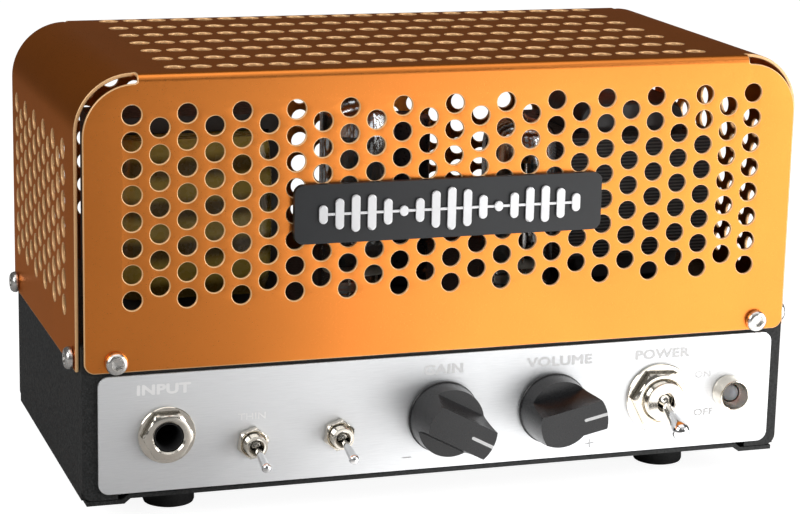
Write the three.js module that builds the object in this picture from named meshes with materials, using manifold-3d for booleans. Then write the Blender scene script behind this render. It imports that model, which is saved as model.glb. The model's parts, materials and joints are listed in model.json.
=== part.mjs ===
// A 5 W all-valve guitar amplifier head: a folded steel chassis with a perforated copper-coloured hood over
// two valves and two transformers, a brushed front panel with its controls, and four rubber feet.
// Millimetres. +X right, +Y back, +Z up. The exported group stands on z = 0, centred in plan.
import * as THREE from "three";
import { mergeVertices } from "three/addons/utils/BufferGeometryUtils.js";
import Module from "manifold-3d";

const wasm = await Module();
wasm.setup();

// ---- Driving dimensions ------------------------------------------------------------------------------
const overallWidth = 210;
const overallHeight = 125.5;
const hoodDepth = 102; // front face of the hood to its rear face; y = 0 is the front face
const seat = 0.25; // clearance left between faces that touch

const hoodSheet = 1;
const hoodBottom = 44.7; // lower edge of the hood
const hoodCornerRadius = 16; // outer radius of the two big bends
const hoodEndSetback = 3.2; // the wrapped sides stop this far behind the front face
const hoodFaceGap = 0.8; // slot between the folded end faces and the wrapped sides
const bendRadius = 2.0; // outer radius of the sharp bend over the front panel
const bendHalfLength = overallWidth / 2 - hoodCornerRadius;
const bendRelief = 0.6; // the sharp bend ends this much short of the big ones
const endArcDrop = 0.4; // the end faces' big arcs stay this much below the sharp bend

const chassisSheet = 1.5;
const chassisHalfWidth = 103.75;
const chassisFront = 1.3; // outer face of the front wall
const chassisTop = 52;
const chassisFoot = 8.6; // underside of the side walls and their flanges
const bottomSheet = 1.2;
const bottomStep = 1.4; // how far the ends of the bottom plate are stepped down under the flanges
const chassisWallFoot = chassisFoot + bottomSheet + seat; // lower edge of the front and rear walls
const flangeReach = 9.8;
const wallCorner = 3; // the front and rear walls' lower corners are rounded

const faceplate = {
  middle: 0.45, halfWidth: 99.95, bottom: 10.4, top: 43.6, corner: 3, front: 0.35, thickness: 0.7,
};

// Centres of the front controls.
const inputJack = { x: -80.7, z: 26.4 };
const toneSwitch = { x: -56.6, z: 22.3 };
const voiceSwitch = { x: -31.9, z: 22.7 };
const gainControl = { x: -1.4, z: 25.7 };
const volumeControl = { x: 31.7, z: 25.7 };
const powerSwitch = { x: 65, z: 26.2 };
const lamp = { x: 87, z: 26.5 };
const gainPointer = -28; // degrees anticlockwise from pointing right
const volumePointer = 12;

const badge = { x: -1.2, z: 86.1, width: 89.5, height: 16.4, thickness: 1.8 };
const footCentre = { x: 75.3, inset: 21.6 };
const hoodScrew = { x: 94.6, z: 47.6, sideInset: 8 };
const bottomScrew = { x: 98, inset: 12 };
const speakerJacks = { x: [-80, -52], z: 28 };
const mainsInlet = { x: 66, z: 28 };
const powerValve = { x: -18.5, y: 30 };
const preampValve = { x: 30, y: 28 };
const filterCapacitor = { x: 2.5, y: 52, radius: 8, height: 50 };
const powerTransformerPlace = { x: 69, y: 53 };
const outputTransformerPlace = { x: -65.5, y: 46 };

// ---- Finishes ----------------------------------------------------------------------------------------
const finish = (color, metalness, roughness) =>
  new THREE.MeshStandardMaterial({ color, metalness, roughness });
const copperPaint = finish(0xb87333, 0.85, 0.38);
const blackPaint = finish(0x1c1d1f, 0.1, 0.75);
const brushedPlate = finish(0xd8d9da, 0.9, 0.35);
const nickel = finish(0xd9d3c4, 1, 0.18);
const blackPlastic = finish(0x141416, 0, 0.35);
const rubber = finish(0x121212, 0, 0.9);
const silverPaint = finish(0xe6e6e8, 0.6, 0.35);
const clearLens = finish(0xb9b4c4, 0, 0.2);
const glass = finish(0xbfc4c6, 0, 0.05);
const ceramic = finish(0xe8e4d8, 0, 0.5);
const boardGreen = finish(0x1f4d2e, 0, 0.5);
const laminatedSteel = finish(0x232326, 0.6, 0.5);
const yellowTape = finish(0x8c7a2b, 0, 0.45);

// ---- Solids: three.js shapes, joined and cut ---------------------------------------------------------
function solid(geometry) {
  const bare = geometry.clone();
  bare.deleteAttribute("normal");
  bare.deleteAttribute("uv");
  const merged = mergeVertices(bare, 1e-4);
  return new wasm.Manifold(
    new wasm.Mesh({
      numProp: 3,
      vertProperties: new Float32Array(merged.attributes.position.array),
      triVerts: new Uint32Array(merged.index.array),
    }),
  );
}

function geometryOf(body) {
  const made = body.getMesh();
  const geometry = new THREE.BufferGeometry();
  geometry.setAttribute("position", new THREE.BufferAttribute(made.vertProperties, 3));
  geometry.setIndex(new THREE.BufferAttribute(made.triVerts, 1));
  geometry.computeVertexNormals();
  return geometry;
}

const join = (...bodies) => bodies.reduce((all, body) => all.add(body));
const cut = (body, ...tools) => tools.reduce((left, tool) => left.subtract(tool), body);

// A block between two corners.
function block([x0, x1], [y0, y1], [z0, z1]) {
  const box = new THREE.BoxGeometry(x1 - x0, y1 - y0, z1 - z0);
  return solid(box.translate((x0 + x1) / 2, (y0 + y1) / 2, (z0 + z1) / 2));
}

// A turned piece: profile points are [radius, height], from the axis round to the axis, about +Z.
function turned(profile, segments = 20) {
  const points = profile.map(([r, h]) => new THREE.Vector2(r, h));
  return solid(new THREE.LatheGeometry(points, segments).rotateX(Math.PI / 2));
}

const rod = (radius, z0, z1, segments = 20) =>
  turned([[0, z0], [radius, z0], [radius, z1], [0, z1]], segments);

// A rod along Y, for holes through the front, the rear and the hood.
const rodY = (radius, y0, y1, x, z, segments = 16) =>
  rod(radius, -y1, -y0, segments).rotate([90, 0, 0]).translate([x, 0, z]);
const rodX = (radius, x0, x1, y, z, segments = 16) =>
  rod(radius, x0, x1, segments).rotate([0, 90, 0]).translate([0, y, z]);

// An outline in a plane, extruded along +Z.
function prism(shape, height, curveSegments = 8) {
  return solid(new THREE.ExtrudeGeometry(shape, { depth: height, bevelEnabled: false, curveSegments }));
}

// The same with the outline standing in XZ, extruded from y0 to y1.
const prismY = (shape, y0, y1, curveSegments = 8) =>
  prism(shape, y1 - y0, curveSegments).rotate([90, 0, 0]).translate([0, y1, 0]);

function polygon(points) {
  return new THREE.Shape(points.map(([x, y]) => new THREE.Vector2(x, y)));
}

function roundedRectangle(x0, x1, y0, y1, r) {
  const shape = new THREE.Shape();
  shape.moveTo(x0 + r, y0);
  shape.lineTo(x1 - r, y0);
  shape.absarc(x1 - r, y0 + r, r, -Math.PI / 2, 0);
  shape.lineTo(x1, y1 - r);
  shape.absarc(x1 - r, y1 - r, r, 0, Math.PI / 2);
  shape.lineTo(x0 + r, y1);
  shape.absarc(x0 + r, y1 - r, r, Math.PI / 2, Math.PI);
  shape.lineTo(x0, y0 + r);
  shape.absarc(x0 + r, y0 + r, r, Math.PI, 1.5 * Math.PI);
  return shape;
}

function hexagon(acrossFlats, turn = 0) {
  const r = acrossFlats / Math.sqrt(3);
  const corners = [0, 1, 2, 3, 4, 5].map((i) => turn + (i * Math.PI) / 3);
  return polygon(corners.map((a) => [r * Math.cos(a), r * Math.sin(a)]));
}

// ---- The scene graph ---------------------------------------------------------------------------------
const amplifier = new THREE.Group();

function place(name, body, material, parent = amplifier) {
  const mesh = new THREE.Mesh(geometryOf(body), material);
  mesh.name = name;
  parent.add(mesh);
  return mesh;
}

// Local axes of a control: x right, y up, z out of the panel, with z = 0 on the face it is fixed to.
function station(x, y, z, turnX) {
  const group = new THREE.Group();
  group.position.set(x, y, z);
  group.rotation.x = turnX;
  amplifier.add(group);
  return group;
}

const frontControl = (x, z) => station(x, faceplate.front, z, Math.PI / 2);
const rearControl = (x, z) => station(x, hoodDepth - chassisFront, z, -Math.PI / 2);

// ---- Holes that both the panels and the chassis share --------------------------------------------------
const bushingHoles = [
  { ...inputJack, r: 4.3 },
  { ...toneSwitch, r: 3.4 },
  { ...voiceSwitch, r: 3.4 },
  { ...gainControl, r: 3.8 },
  { ...volumeControl, r: 3.8 },
  { ...powerSwitch, r: 6.3 },
  { ...lamp, r: 4 },
];
const throughFront = (hole) => rodY(hole.r, -1, 8, hole.x, hole.z);

// Each hood screw: where its head sits, and the turn that points local z out of that face.
const sideX = overallWidth / 2;
const faceScrews = [["front", 0, Math.PI / 2], ["rear", hoodDepth, -Math.PI / 2]];
const sideScrewDepths = [["front", hoodScrew.sideInset], ["rear", hoodDepth - hoodScrew.sideInset]];
const hoodScrews = [["left", -1], ["right", 1]].flatMap(([side, sign]) => [
  ...faceScrews.map(([face, y, turnX]) => ({
    name: `hood_screw_${face}_${side}`, x: sign * hoodScrew.x, y, turnX, turnY: 0,
  })),
  ...sideScrewDepths.map(([end, y]) => ({
    name: `hood_screw_${side}_side_${end}`, x: sign * sideX, y, turnX: 0, turnY: (sign * Math.PI) / 2,
  })),
]);
const screwClearance = 1.8;
const hoodScrewHoles = hoodScrews.map((s) =>
  s.turnY === 0
    ? rodY(screwClearance, s.y - 6, s.y + 6, s.x, hoodScrew.z, 12)
    : rodX(screwClearance, s.x - 6, s.x + 6, s.y, hoodScrew.z, 12),
);

// ---- Chassis: deck, four walls, and a flange under each end --------------------------------------------
function chassis() {
  const rear = hoodDepth - chassisFront;
  const t = chassisSheet;
  const w = chassisHalfWidth;
  const shell = cut(
    block([-w, w], [chassisFront, rear], [chassisFoot, chassisTop]),
    block([t - w, w - t], [chassisFront + t, rear - t], [0, chassisTop - t]),
    block([flangeReach - w, w - flangeReach], [0, hoodDepth], [0, chassisWallFoot]),
  );
  const flanges = [-1, 1].map((side) => {
    const edge = [side * (w - 0.2), side * (w - flangeReach)].sort((a, b) => a - b);
    return block(edge, [chassisFront + 0.2, rear - 0.2], [chassisFoot, chassisFoot + 1.2]);
  });
  const valveHoles = [preampValve, powerValve].map((v) =>
    rod(10.4, chassisTop - 5, chassisTop + 5).translate([v.x, v.y, 0]),
  );
  const rearHoles = speakerJacks.x.map((x) => rodY(4.8, hoodDepth - 8, hoodDepth + 1, x, speakerJacks.z));
  const inletHole = block(
    [mainsInlet.x - 14, mainsInlet.x + 14],
    [hoodDepth - 8, hoodDepth],
    [mainsInlet.z - 10.3, mainsInlet.z + 10.3],
  );
  const bottomScrewHoles = bottomScrews().map((s) => rod(1.5, 0, 12, 12).translate([s.x, s.y, 0]));
  const wallDepths = [[0, chassisFront + t], [rear - t, hoodDepth]];
  const corners = wallDepths.flatMap((depth) => [-1, 1].map((side) => cornerWaste(side, depth)));
  const holes = [...bushingHoles.map(throughFront), ...hoodScrewHoles, ...valveHoles];
  return cut(join(shell, ...flanges), ...holes, ...rearHoles, inletHole, ...bottomScrewHoles, ...corners);
}

// What is taken off one lower corner of the front or rear wall to round it.
function cornerWaste(side, depth) {
  const centre = [side * (chassisHalfWidth - wallCorner), chassisFoot + wallCorner];
  const across = [centre[0], side * (chassisHalfWidth + 1)].sort((a, b) => a - b);
  return cut(block(across, depth, [0, centre[1]]), rodY(wallCorner, depth[0] - 1, depth[1] + 1, ...centre, 24));
}

// ---- Bottom plate: flat, stepped down at each end to lap under the chassis flanges ----------------------
function bottomScrews() {
  return [-1, 1].flatMap((side) =>
    [bottomScrew.inset, hoodDepth - bottomScrew.inset].map((y) => ({ x: side * bottomScrew.x, y })),
  );
}

function feetPlaces() {
  return [-1, 1].flatMap((side) =>
    [footCentre.inset, hoodDepth - footCentre.inset].map((y) => ({ x: side * footCentre.x, y })),
  );
}

function bottomPlate() {
  const high = chassisFoot;
  const low = chassisFoot - bottomStep;
  const t = bottomSheet;
  const half = [[90.5, high], [92.2, low], [102.6, low]];
  const under = [...half.map(([x, z]) => [-x, z]).reverse(), ...half];
  const over = [...half].reverse().map(([x, z]) => [x === 92.2 ? x + 0.5 : x + (z === high ? 0.5 : 0), z + t]);
  const outline = polygon([...under, ...over, ...over.map(([x, z]) => [-x, z]).reverse()]);
  const plate = prismY(outline, chassisFront, hoodDepth - chassisFront);
  const holes = [...feetPlaces(), ...bottomScrews()].map((p) => rod(1.75, 0, 12, 12).translate([p.x, p.y, 0]));
  return cut(plate, ...holes);
}

// ---- Front panel -----------------------------------------------------------------------------------------
function frontPanel() {
  const f = faceplate;
  const outline = roundedRectangle(f.middle - f.halfWidth, f.middle + f.halfWidth, f.bottom, f.top, f.corner);
  return cut(prismY(outline, f.front, f.front + f.thickness, 5), ...bushingHoles.map(throughFront));
}

// ---- Hood: one sheet, wrapped over the sides with big bends and folded down at the front and rear ---------
function hoodEndPanel() {
  const x = sideX - hoodSheet - hoodFaceGap;
  const arc = x - bendHalfLength;
  const top = overallHeight - bendRadius - endArcDrop;
  const low = 3;
  const shape = new THREE.Shape();
  shape.moveTo(low - x, hoodBottom);
  shape.lineTo(x - low, hoodBottom);
  shape.absarc(x - low, hoodBottom + low, low, -Math.PI / 2, 0);
  shape.lineTo(x, top - arc);
  shape.absarc(x - arc, top - arc, arc, 0, Math.PI / 2);
  shape.lineTo(arc - x, top);
  shape.absarc(arc - x, top - arc, arc, Math.PI / 2, Math.PI);
  shape.lineTo(-x, hoodBottom + low);
  shape.absarc(low - x, hoodBottom + low, low, Math.PI, 1.5 * Math.PI);
  return prismY(shape, 0, hoodSheet, 8);
}

// The sharp bend, as a quarter ring between the panel and the top, along X.
function hoodBend() {
  const centre = [bendRadius, overallHeight - bendRadius];
  const shape = new THREE.Shape();
  shape.absarc(...centre, bendRadius, Math.PI / 2, Math.PI);
  shape.lineTo(0, centre[1] - 0.5);
  shape.lineTo(hoodSheet, centre[1] - 0.5);
  shape.lineTo(hoodSheet, centre[1]);
  shape.absarc(...centre, bendRadius - hoodSheet, Math.PI, Math.PI / 2, true);
  shape.lineTo(hoodEndSetback + 0.5, overallHeight - hoodSheet);
  shape.lineTo(hoodEndSetback + 0.5, overallHeight);
  const half = bendHalfLength - bendRelief;
  return prism(shape, 2 * half, 5).rotate([90, 0, 90]).translate([-half, 0, 0]);
}

function hoodWrap() {
  const outer = roundedRectangle(-sideX, sideX, 0, overallHeight, hoodCornerRadius);
  const t = hoodSheet;
  const inner = roundedRectangle(t - sideX, sideX - t, t, overallHeight - t, hoodCornerRadius - t);
  const ends = [hoodEndSetback, hoodDepth - hoodEndSetback];
  return cut(
    prismY(outer, ...ends, 10),
    prismY(inner, ends[0] - 1, ends[1] + 1, 10),
    block([-120, 120], [-1, hoodDepth + 1], [-1, hoodBottom]),
  );
}

function hood() {
  const front = join(hoodEndPanel(), hoodBend());
  const rear = front.mirror([0, 1, 0]).translate([0, hoodDepth, 0]);
  return cut(join(hoodWrap(), front, rear), ...hoodScrewHoles);
}

// ---- Badge: a plate with a raised row of level bars -------------------------------------------------------
function badgePlate() {
  const [w, h] = [badge.width / 2, badge.height / 2];
  return prismY(roundedRectangle(-w, w, -h, h, 2.6), -seat - badge.thickness, -seat, 4);
}

// Bars that swell and fade like a loudness trace, joined along the middle by a thin rib.
function badgeEmblem() {
  const front = -badge.thickness - 2 * seat;
  const depth = [front - 0.6, front];
  const bars = 17;
  const pitch = 4.6;
  const rib = block([-40, 40], depth, [-0.5, 0.5]);
  const all = Array.from({ length: bars }, (_, i) => {
    const x = (i - (bars - 1) / 2) * pitch;
    const swell = Math.abs(Math.cos((x / 40) * 1.5 * Math.PI)) * (1 - 0.25 * Math.abs(x / 40));
    const half = 1.2 + 4.8 * swell;
    return block([x - 1.2, x + 1.2], depth, [-half, half]);
  });
  return join(rib, ...all);
}

// ---- Fasteners, z out of the face that the head sits on ---------------------------------------------------
function buttonScrew(head, rise, shank, length, socket) {
  const profile = [[0, -length], [shank, -length], [shank, 0], [head, 0], [head, 0.25 * rise]];
  profile.push([0.84 * head, 0.68 * rise], [0.58 * head, rise], [0, rise]);
  const recess = prism(hexagon(socket), rise).translate([0, 0, 0.3 * rise]);
  return cut(turned(profile, 12), recess);
}

function hexNut(acrossFlats, bore, thickness) {
  const blank = prism(hexagon(acrossFlats), thickness);
  const [corner, crown] = [acrossFlats / 1.75, acrossFlats / 2.05];
  const chamfer = turned([[0, 0], [corner, 0], [corner, thickness * 0.72], [crown, thickness], [0, thickness]]);
  return cut(blank.intersect(chamfer), rod(bore, -1, thickness + 1, 16));
}

const ring = (outer, bore, thickness) => cut(rod(outer, 0, thickness, 24), rod(bore, -1, thickness + 1, 16));

// ---- Feet: round bumpers with a stem pushed through the bottom plate -------------------------------------
function foot() {
  const top = chassisFoot - seat;
  const stem = top + bottomSheet + 1.5;
  const profile = [[0, 2.5], [2.6, 2.5], [2.6, 0], [6.85, 0], [7.3, 0.6], [7.3, top]];
  profile.push([1.5, top], [1.5, stem], [0, stem]);
  return turned(profile, 20);
}

// ---- Jacks -----------------------------------------------------------------------------------------------
// A quarter-inch jack: moulded body behind the panel, threaded nose through it, bored for the plug.
function jackBody(noseRadius, noseReach, wall) {
  const body = block([-8, 8], [-9.5, 9.5], [-wall - 24, -wall]);
  const nose = rod(noseRadius, -wall - 1, noseReach);
  return cut(join(body, nose), rod(3.3, -wall - 21, noseReach + 1, 16));
}

// ---- Toggle switches -------------------------------------------------------------------------------------
function toggleBody(size, wall) {
  const [w, h, d] = size.body;
  const body = block([-w / 2, w / 2], [-h / 2, h / 2], [-wall - d, -wall]);
  const bushing = rod(size.bushing, -wall - 1, size.reach);
  const mouth = turned([
    [0, size.pivot - size.ball - 0.4],
    [size.bore, size.pivot - size.ball - 0.4],
    [size.bore, size.reach - 0.6],
    [size.bore + 0.5, size.reach + 0.1],
    [0, size.reach + 0.1],
  ]);
  return cut(join(body, bushing), mouth);
}

// The lever's pivot is at the local origin, and the lever runs along z to a rounded tip.
function toggleLever(size) {
  const profile = [[0, -size.ball]];
  const steps = 5;
  for (let i = 1; i < steps; i++) {
    const a = (i * 0.8 * Math.PI) / steps;
    profile.push([size.ball * Math.sin(a), -size.ball * Math.cos(a)]);
  }
  profile.push([size.neck, size.ball * 0.95], [size.tip * 0.93, size.length - size.tip * 0.5]);
  for (let i = 0; i < 3; i++) {
    const a = (i * Math.PI) / 6;
    profile.push([size.tip * Math.cos(a), size.length + size.tip * Math.sin(a)]);
  }
  profile.push([0, size.length + size.tip]);
  return turned(profile, 12);
}

const miniToggle = {
  body: [7, 13, 10], bushing: 3.05, bore: 2.1, reach: 5.6, pivot: 3.7, ball: 1.7, neck: 0.9, tip: 1.4, length: 11.6,
  nut: { flats: 8, bore: 3.3, thickness: 2, turn: 0.35 },
  rest: 13,
};
const powerToggle = {
  body: [17, 29, 18], bushing: 5.8, bore: 2.7, reach: 6.1, pivot: 3.2, ball: 2.3, neck: 1.5, tip: 2.65, length: 14,
  nut: { flats: 15.6, bore: 6.05, thickness: 2.2, turn: -0.05 },
  rest: 22,
};
const wallBehindPanel = chassisFront + chassisSheet - faceplate.front + seat;

function toggleSwitch(name, size, centre, washer) {
  const control = frontControl(centre.x, centre.z);
  place(`${name}_body`, toggleBody(size, wallBehindPanel), nickel, control);
  const nut = place(`${name}_nut`, hexNut(size.nut.flats, size.nut.bore, size.nut.thickness), nickel, control);
  nut.position.z = seat + (washer ? washer.thickness + seat : 0);
  nut.rotation.z = size.nut.turn;
  if (washer) {
    const plate = place(`${name}_washer`, ring(washer.radius, size.nut.bore, washer.thickness), nickel, control);
    plate.position.z = seat;
  }
  const lever = place(`${name}_lever`, toggleLever(size), nickel, control);
  lever.position.z = size.pivot;
  lever.rotation.x = THREE.MathUtils.degToRad(size.rest);
}

// ---- Potentiometers and their pointer knobs ----------------------------------------------------------------
const knob = { base: 0.9, top: 16.9, skirt: 10.1, shoulder: 9.5, lobe: 8, barHalf: 4.25, tip: 10.6 };

function potBody() {
  const can = rod(8, -wallBehindPanel - 9, -wallBehindPanel, 20);
  const bushing = rod(3.5, -wallBehindPanel - 1, 5);
  return cut(join(can, bushing), rod(3.2, -wallBehindPanel - 7, 6));
}

const potShaft = () => rod(2.98, -wallBehindPanel - 6, 13);

// The pointer bar seen from the front: parallel sides, a rounded heel and a slightly bowed tip.
function pointerOutline(heel, tip, half) {
  const shape = new THREE.Shape();
  const heelAngle = Math.asin(half / heel);
  const bow = 0.4;
  shape.moveTo(tip - bow, -half);
  shape.quadraticCurveTo(tip + bow, 0, tip - bow, half);
  shape.lineTo(-heel * Math.cos(heelAngle), half);
  shape.absarc(0, 0, heel, Math.PI - heelAngle, Math.PI + heelAngle);
  return shape;
}

// Pointer knob, pointing along +x: a tapered skirt, and a bar across it whose nose overhangs the skirt.
function pointerKnob() {
  const k = knob;
  const rim = k.skirt + 0.3;
  const skirt = turned(
    [[0, k.base], [rim, k.base], [rim, k.base + 0.9], [k.skirt, k.base + 1.1], [k.shoulder, k.lobe], [0, k.lobe]],
    32,
  );
  const bar = prism(pointerOutline(k.shoulder - 0.1, k.tip, k.barHalf), k.top - k.base - 2, 6);
  // The nose is cut back on a slope, from the skirt up to the tip.
  const underTip = k.top - 2.2;
  const slope = prism(
    polygon([[k.shoulder, 0], [k.tip + 3, 0], [k.tip + 3, underTip], [k.tip, underTip], [k.shoulder, k.lobe - 2]]),
    12,
  );
  const nose = cut(bar.translate([0, 0, k.base + 2]), slope.rotate([90, 0, 0]).translate([0, 6, 0]));
  const bushingRoom = rod(6.2, 0, 6.4);
  const shaftBore = rod(3.05, 0, 13.2, 16);
  return cut(join(skirt, nose), bushingRoom, shaftBore);
}

function rotaryControl(name, centre, pointer) {
  const control = frontControl(centre.x, centre.z);
  place(`${name}_pot`, potBody(), nickel, control);
  place(`${name}_pot_shaft`, potShaft(), nickel, control);
  place(`${name}_knob`, pointerKnob(), blackPlastic, control).rotation.z = THREE.MathUtils.degToRad(pointer);
}

// ---- Indicator lamp ----------------------------------------------------------------------------------------
function lampBezel() {
  const outside = [[0, -7], [3.7, -7], [3.7, seat], [4.9, seat], [4.9, 0.8], [4.6, 1.2], [4.6, 5.2]];
  const inside = [[4.3, 5.5], [4, 5.3], [3.5, 2.2], [0, 2.2]];
  return cut(turned([...outside, ...inside]), rod(2.75, -8, 6, 16));
}

const lampLens = () =>
  turned([[0, -5], [2.5, -5], [2.5, 3], [2.2, 4.2], [1.3, 5], [0, 5.3]], 16);

// ---- Transformers ------------------------------------------------------------------------------------------
// Laminations outlined in the local XY plane, stacked along z, with the winding round the middle leg.
function transformerCore(size) {
  const { width, height, stack, leg, yoke } = size;
  const window = [leg / 2, width / 2 - leg / 2];
  const core = block([-width / 2, width / 2], [-height / 2, height / 2], [-stack / 2, stack / 2]);
  const windows = [-1, 1].map((side) =>
    block(window.map((x) => side * x).sort((a, b) => a - b), [yoke - height / 2, height / 2 - yoke], [-stack, stack]),
  );
  return cut(core, ...windows);
}

function transformerWinding(size) {
  const { width, height, stack, leg, yoke, build } = size;
  const length = height / 2 - yoke - 0.3;
  const outer = [width / 2 - leg / 2 - 0.3, stack / 2 + build];
  const inner = [leg / 2 + 0.3, stack / 2 + 0.3];
  const wound = prismY(roundedRectangle(-outer[0], outer[0], -outer[1], outer[1], 5), -length, length, 4);
  return cut(wound, block([-inner[0], inner[0]], [-length - 1, length + 1], [-inner[1], inner[1]]));
}

const powerTransformer = { width: 50, height: 48, stack: 36, leg: 14, yoke: 7.5, build: 9.5 };
const outputTransformer = { width: 55, height: 55, stack: 20, leg: 10, yoke: 4.5, build: 9.5 };

function transformer(name, size, tape, { x, y }, z, turnX) {
  const group = station(x, y, z, turnX);
  place(`${name}_core`, transformerCore(size), laminatedSteel, group);
  place(`${name}_winding`, transformerWinding(size), tape, group);
}

// ---- Valves ------------------------------------------------------------------------------------------------
function valveSocket() {
  const profile = [[0, -6], [10, -6], [10, seat], [12.5, seat], [12.5, 1.4], [10.6, 2.6], [0, 2.6]];
  return turned(profile, 20);
}

function valve(height) {
  const dome = height - 9;
  const profile = [[0, 0], [8.2, 0], [10.2, 1.2], [10.9, 3], [10.9, dome], [9.9, dome + 3.4], [6.8, dome + 5.8]];
  profile.push([2.6, dome + 6.8], [1.6, height - 0.6], [0, height]);
  return turned(profile, 18);
}

function valvePosition(name, spot, height) {
  const group = station(spot.x, spot.y, chassisTop, 0);
  place(`${name}_socket`, valveSocket(), ceramic, group);
  place(name, valve(height), glass, group).position.z = 2.6 + seat;
}

// ---- Circuit board under the deck, and the can capacitor on it ------------------------------------------------
function circuitBoard() {
  const board = block([-68, 44], [34, 76], [16, 17.6]);
  const parts = [[-52, 52], [-30, 60], [34, 62]].map(([x, y]) => rod(6, 17, 38, 16).translate([x, y, 0]));
  return join(board, ...parts);
}

function canCapacitor() {
  const { radius: r, height: h } = filterCapacitor;
  return turned([[0, 0], [r - 0.6, 0], [r, 0.6], [r, 3.4], [r - 0.6, 4], [r, 4.6], [r, h - 0.8], [r - 0.8, h], [0, h]], 20);
}

// ---- Mains inlet -------------------------------------------------------------------------------------------
function inletHousing() {
  const flange = prism(roundedRectangle(-15.5, 15.5, -12, 12, 2.5), 2.4, 4).translate([0, 0, seat]);
  const body = block([-13.5, 13.5], [-9.8, 9.8], [-20, 1]);
  const mouth = [[-12.2, -8.2], [12.2, -8.2], [12.2, 3.4], [7.6, 8.2], [-7.6, 8.2], [-12.2, 3.4]];
  const cavity = prism(polygon(mouth), 20).translate([0, 0, -14]);
  const pins = [[-7, -2.6], [0, 2.6], [7, -2.6]].map(([x, y]) => block([x - 1, x + 1], [y - 2, y + 2], [-15, -2.5]));
  return join(cut(join(flange, body), cavity), ...pins);
}

// ---- Assembly ----------------------------------------------------------------------------------------------
place("chassis", chassis(), blackPaint);
place("bottom_plate", bottomPlate(), blackPaint);
place("front_panel", frontPanel(), brushedPlate);
place("hood", hood(), copperPaint);
place("badge_plate", badgePlate(), blackPlastic).position.set(badge.x, 0, badge.z);
place("badge_emblem", badgeEmblem(), silverPaint).position.set(badge.x, 0, badge.z);

const cornerNames = ["front_left", "rear_left", "front_right", "rear_right"];
feetPlaces().forEach((p, i) => place(`foot_${cornerNames[i]}`, foot(), rubber).position.set(p.x, p.y, 0));

bottomScrews().forEach((p, i) => {
  const screw = place(`bottom_screw_${cornerNames[i]}`, buttonScrew(2.7, 1.5, 1.2, 5, 2), nickel);
  screw.position.set(p.x, p.y, chassisFoot - bottomStep - seat);
  screw.rotation.x = Math.PI;
});

for (const s of hoodScrews) {
  const screw = place(s.name, buttonScrew(3.15, 2, 1.5, 6, 2.9), nickel);
  screw.rotation.set(s.turnX, s.turnY, 0);
  const outward = new THREE.Vector3(0, 0, seat).applyEuler(screw.rotation);
  screw.position.set(s.x, s.y, hoodScrew.z).add(outward);
}

const jackWasher = 0.7;
const inputControl = frontControl(inputJack.x, inputJack.z);
place("input_jack", jackBody(3.95, 3.4, wallBehindPanel), blackPlastic, inputControl);
place("input_jack_washer", ring(8, 4.2, jackWasher), nickel, inputControl).position.z = seat;
place("input_jack_nut", hexNut(12.5, 4.2, 2.2), nickel, inputControl).position.z = jackWasher + 2 * seat;

toggleSwitch("tone_switch", miniToggle, toneSwitch);
toggleSwitch("voice_switch", miniToggle, voiceSwitch);
rotaryControl("gain", gainControl, gainPointer);
rotaryControl("volume", volumeControl, volumePointer);
toggleSwitch("power_switch", powerToggle, powerSwitch, { radius: 10.2, thickness: 0.8 });

const lampControl = frontControl(lamp.x, lamp.z);
place("lamp_bezel", lampBezel(), nickel, lampControl);
place("lamp_lens", lampLens(), clearLens, lampControl).position.z = -1.2;

["speaker_jack_8_ohm", "speaker_jack_16_ohm"].forEach((name, i) => {
  const control = rearControl(speakerJacks.x[i], speakerJacks.z);
  place(name, jackBody(4.5, 4.4, chassisSheet + seat), blackPlastic, control);
  place(`${name}_nut`, hexNut(12.5, 4.75, 2.2), nickel, control).position.z = seat;
});
place("mains_inlet", inletHousing(), blackPlastic, rearControl(mainsInlet.x, mainsInlet.z));

const deckRest = chassisTop + seat;
const powerCoreHeight = deckRest + powerTransformer.stack / 2 + powerTransformer.build;
const outputCoreHeight = deckRest + outputTransformer.height / 2;
transformer("power_transformer", powerTransformer, blackPaint, powerTransformerPlace, powerCoreHeight, 0);
transformer("output_transformer", outputTransformer, yellowTape, outputTransformerPlace, outputCoreHeight, Math.PI / 2);
valvePosition("power_valve", powerValve, 61);
valvePosition("preamp_valve", preampValve, 52);
place("filter_capacitor", canCapacitor(), blackPlastic).position.set(filterCapacitor.x, filterCapacitor.y, deckRest);
place("circuit_board", circuitBoard(), boardGreen);

// Centre the footprint, knobs and rear sockets included.
const extent = new THREE.Box3().setFromObject(amplifier, true);
amplifier.position.y = -(extent.min.y + extent.max.y) / 2;

export default amplifier;
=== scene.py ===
"""Looks of the guitar amplifier head: a copper-coloured perforated hood over a black chassis with a brushed
front panel. Shapes are made here in millimetres, in the row frame (+X right, +Y back, +Z up), and scaled to
metres as each piece is made."""
import json
import math

import bmesh
import bpy
from mathutils import Matrix, Vector
from mathutils.bvhtree import BVHTree
from mathutils.geometry import delaunay_2d_cdt


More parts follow.
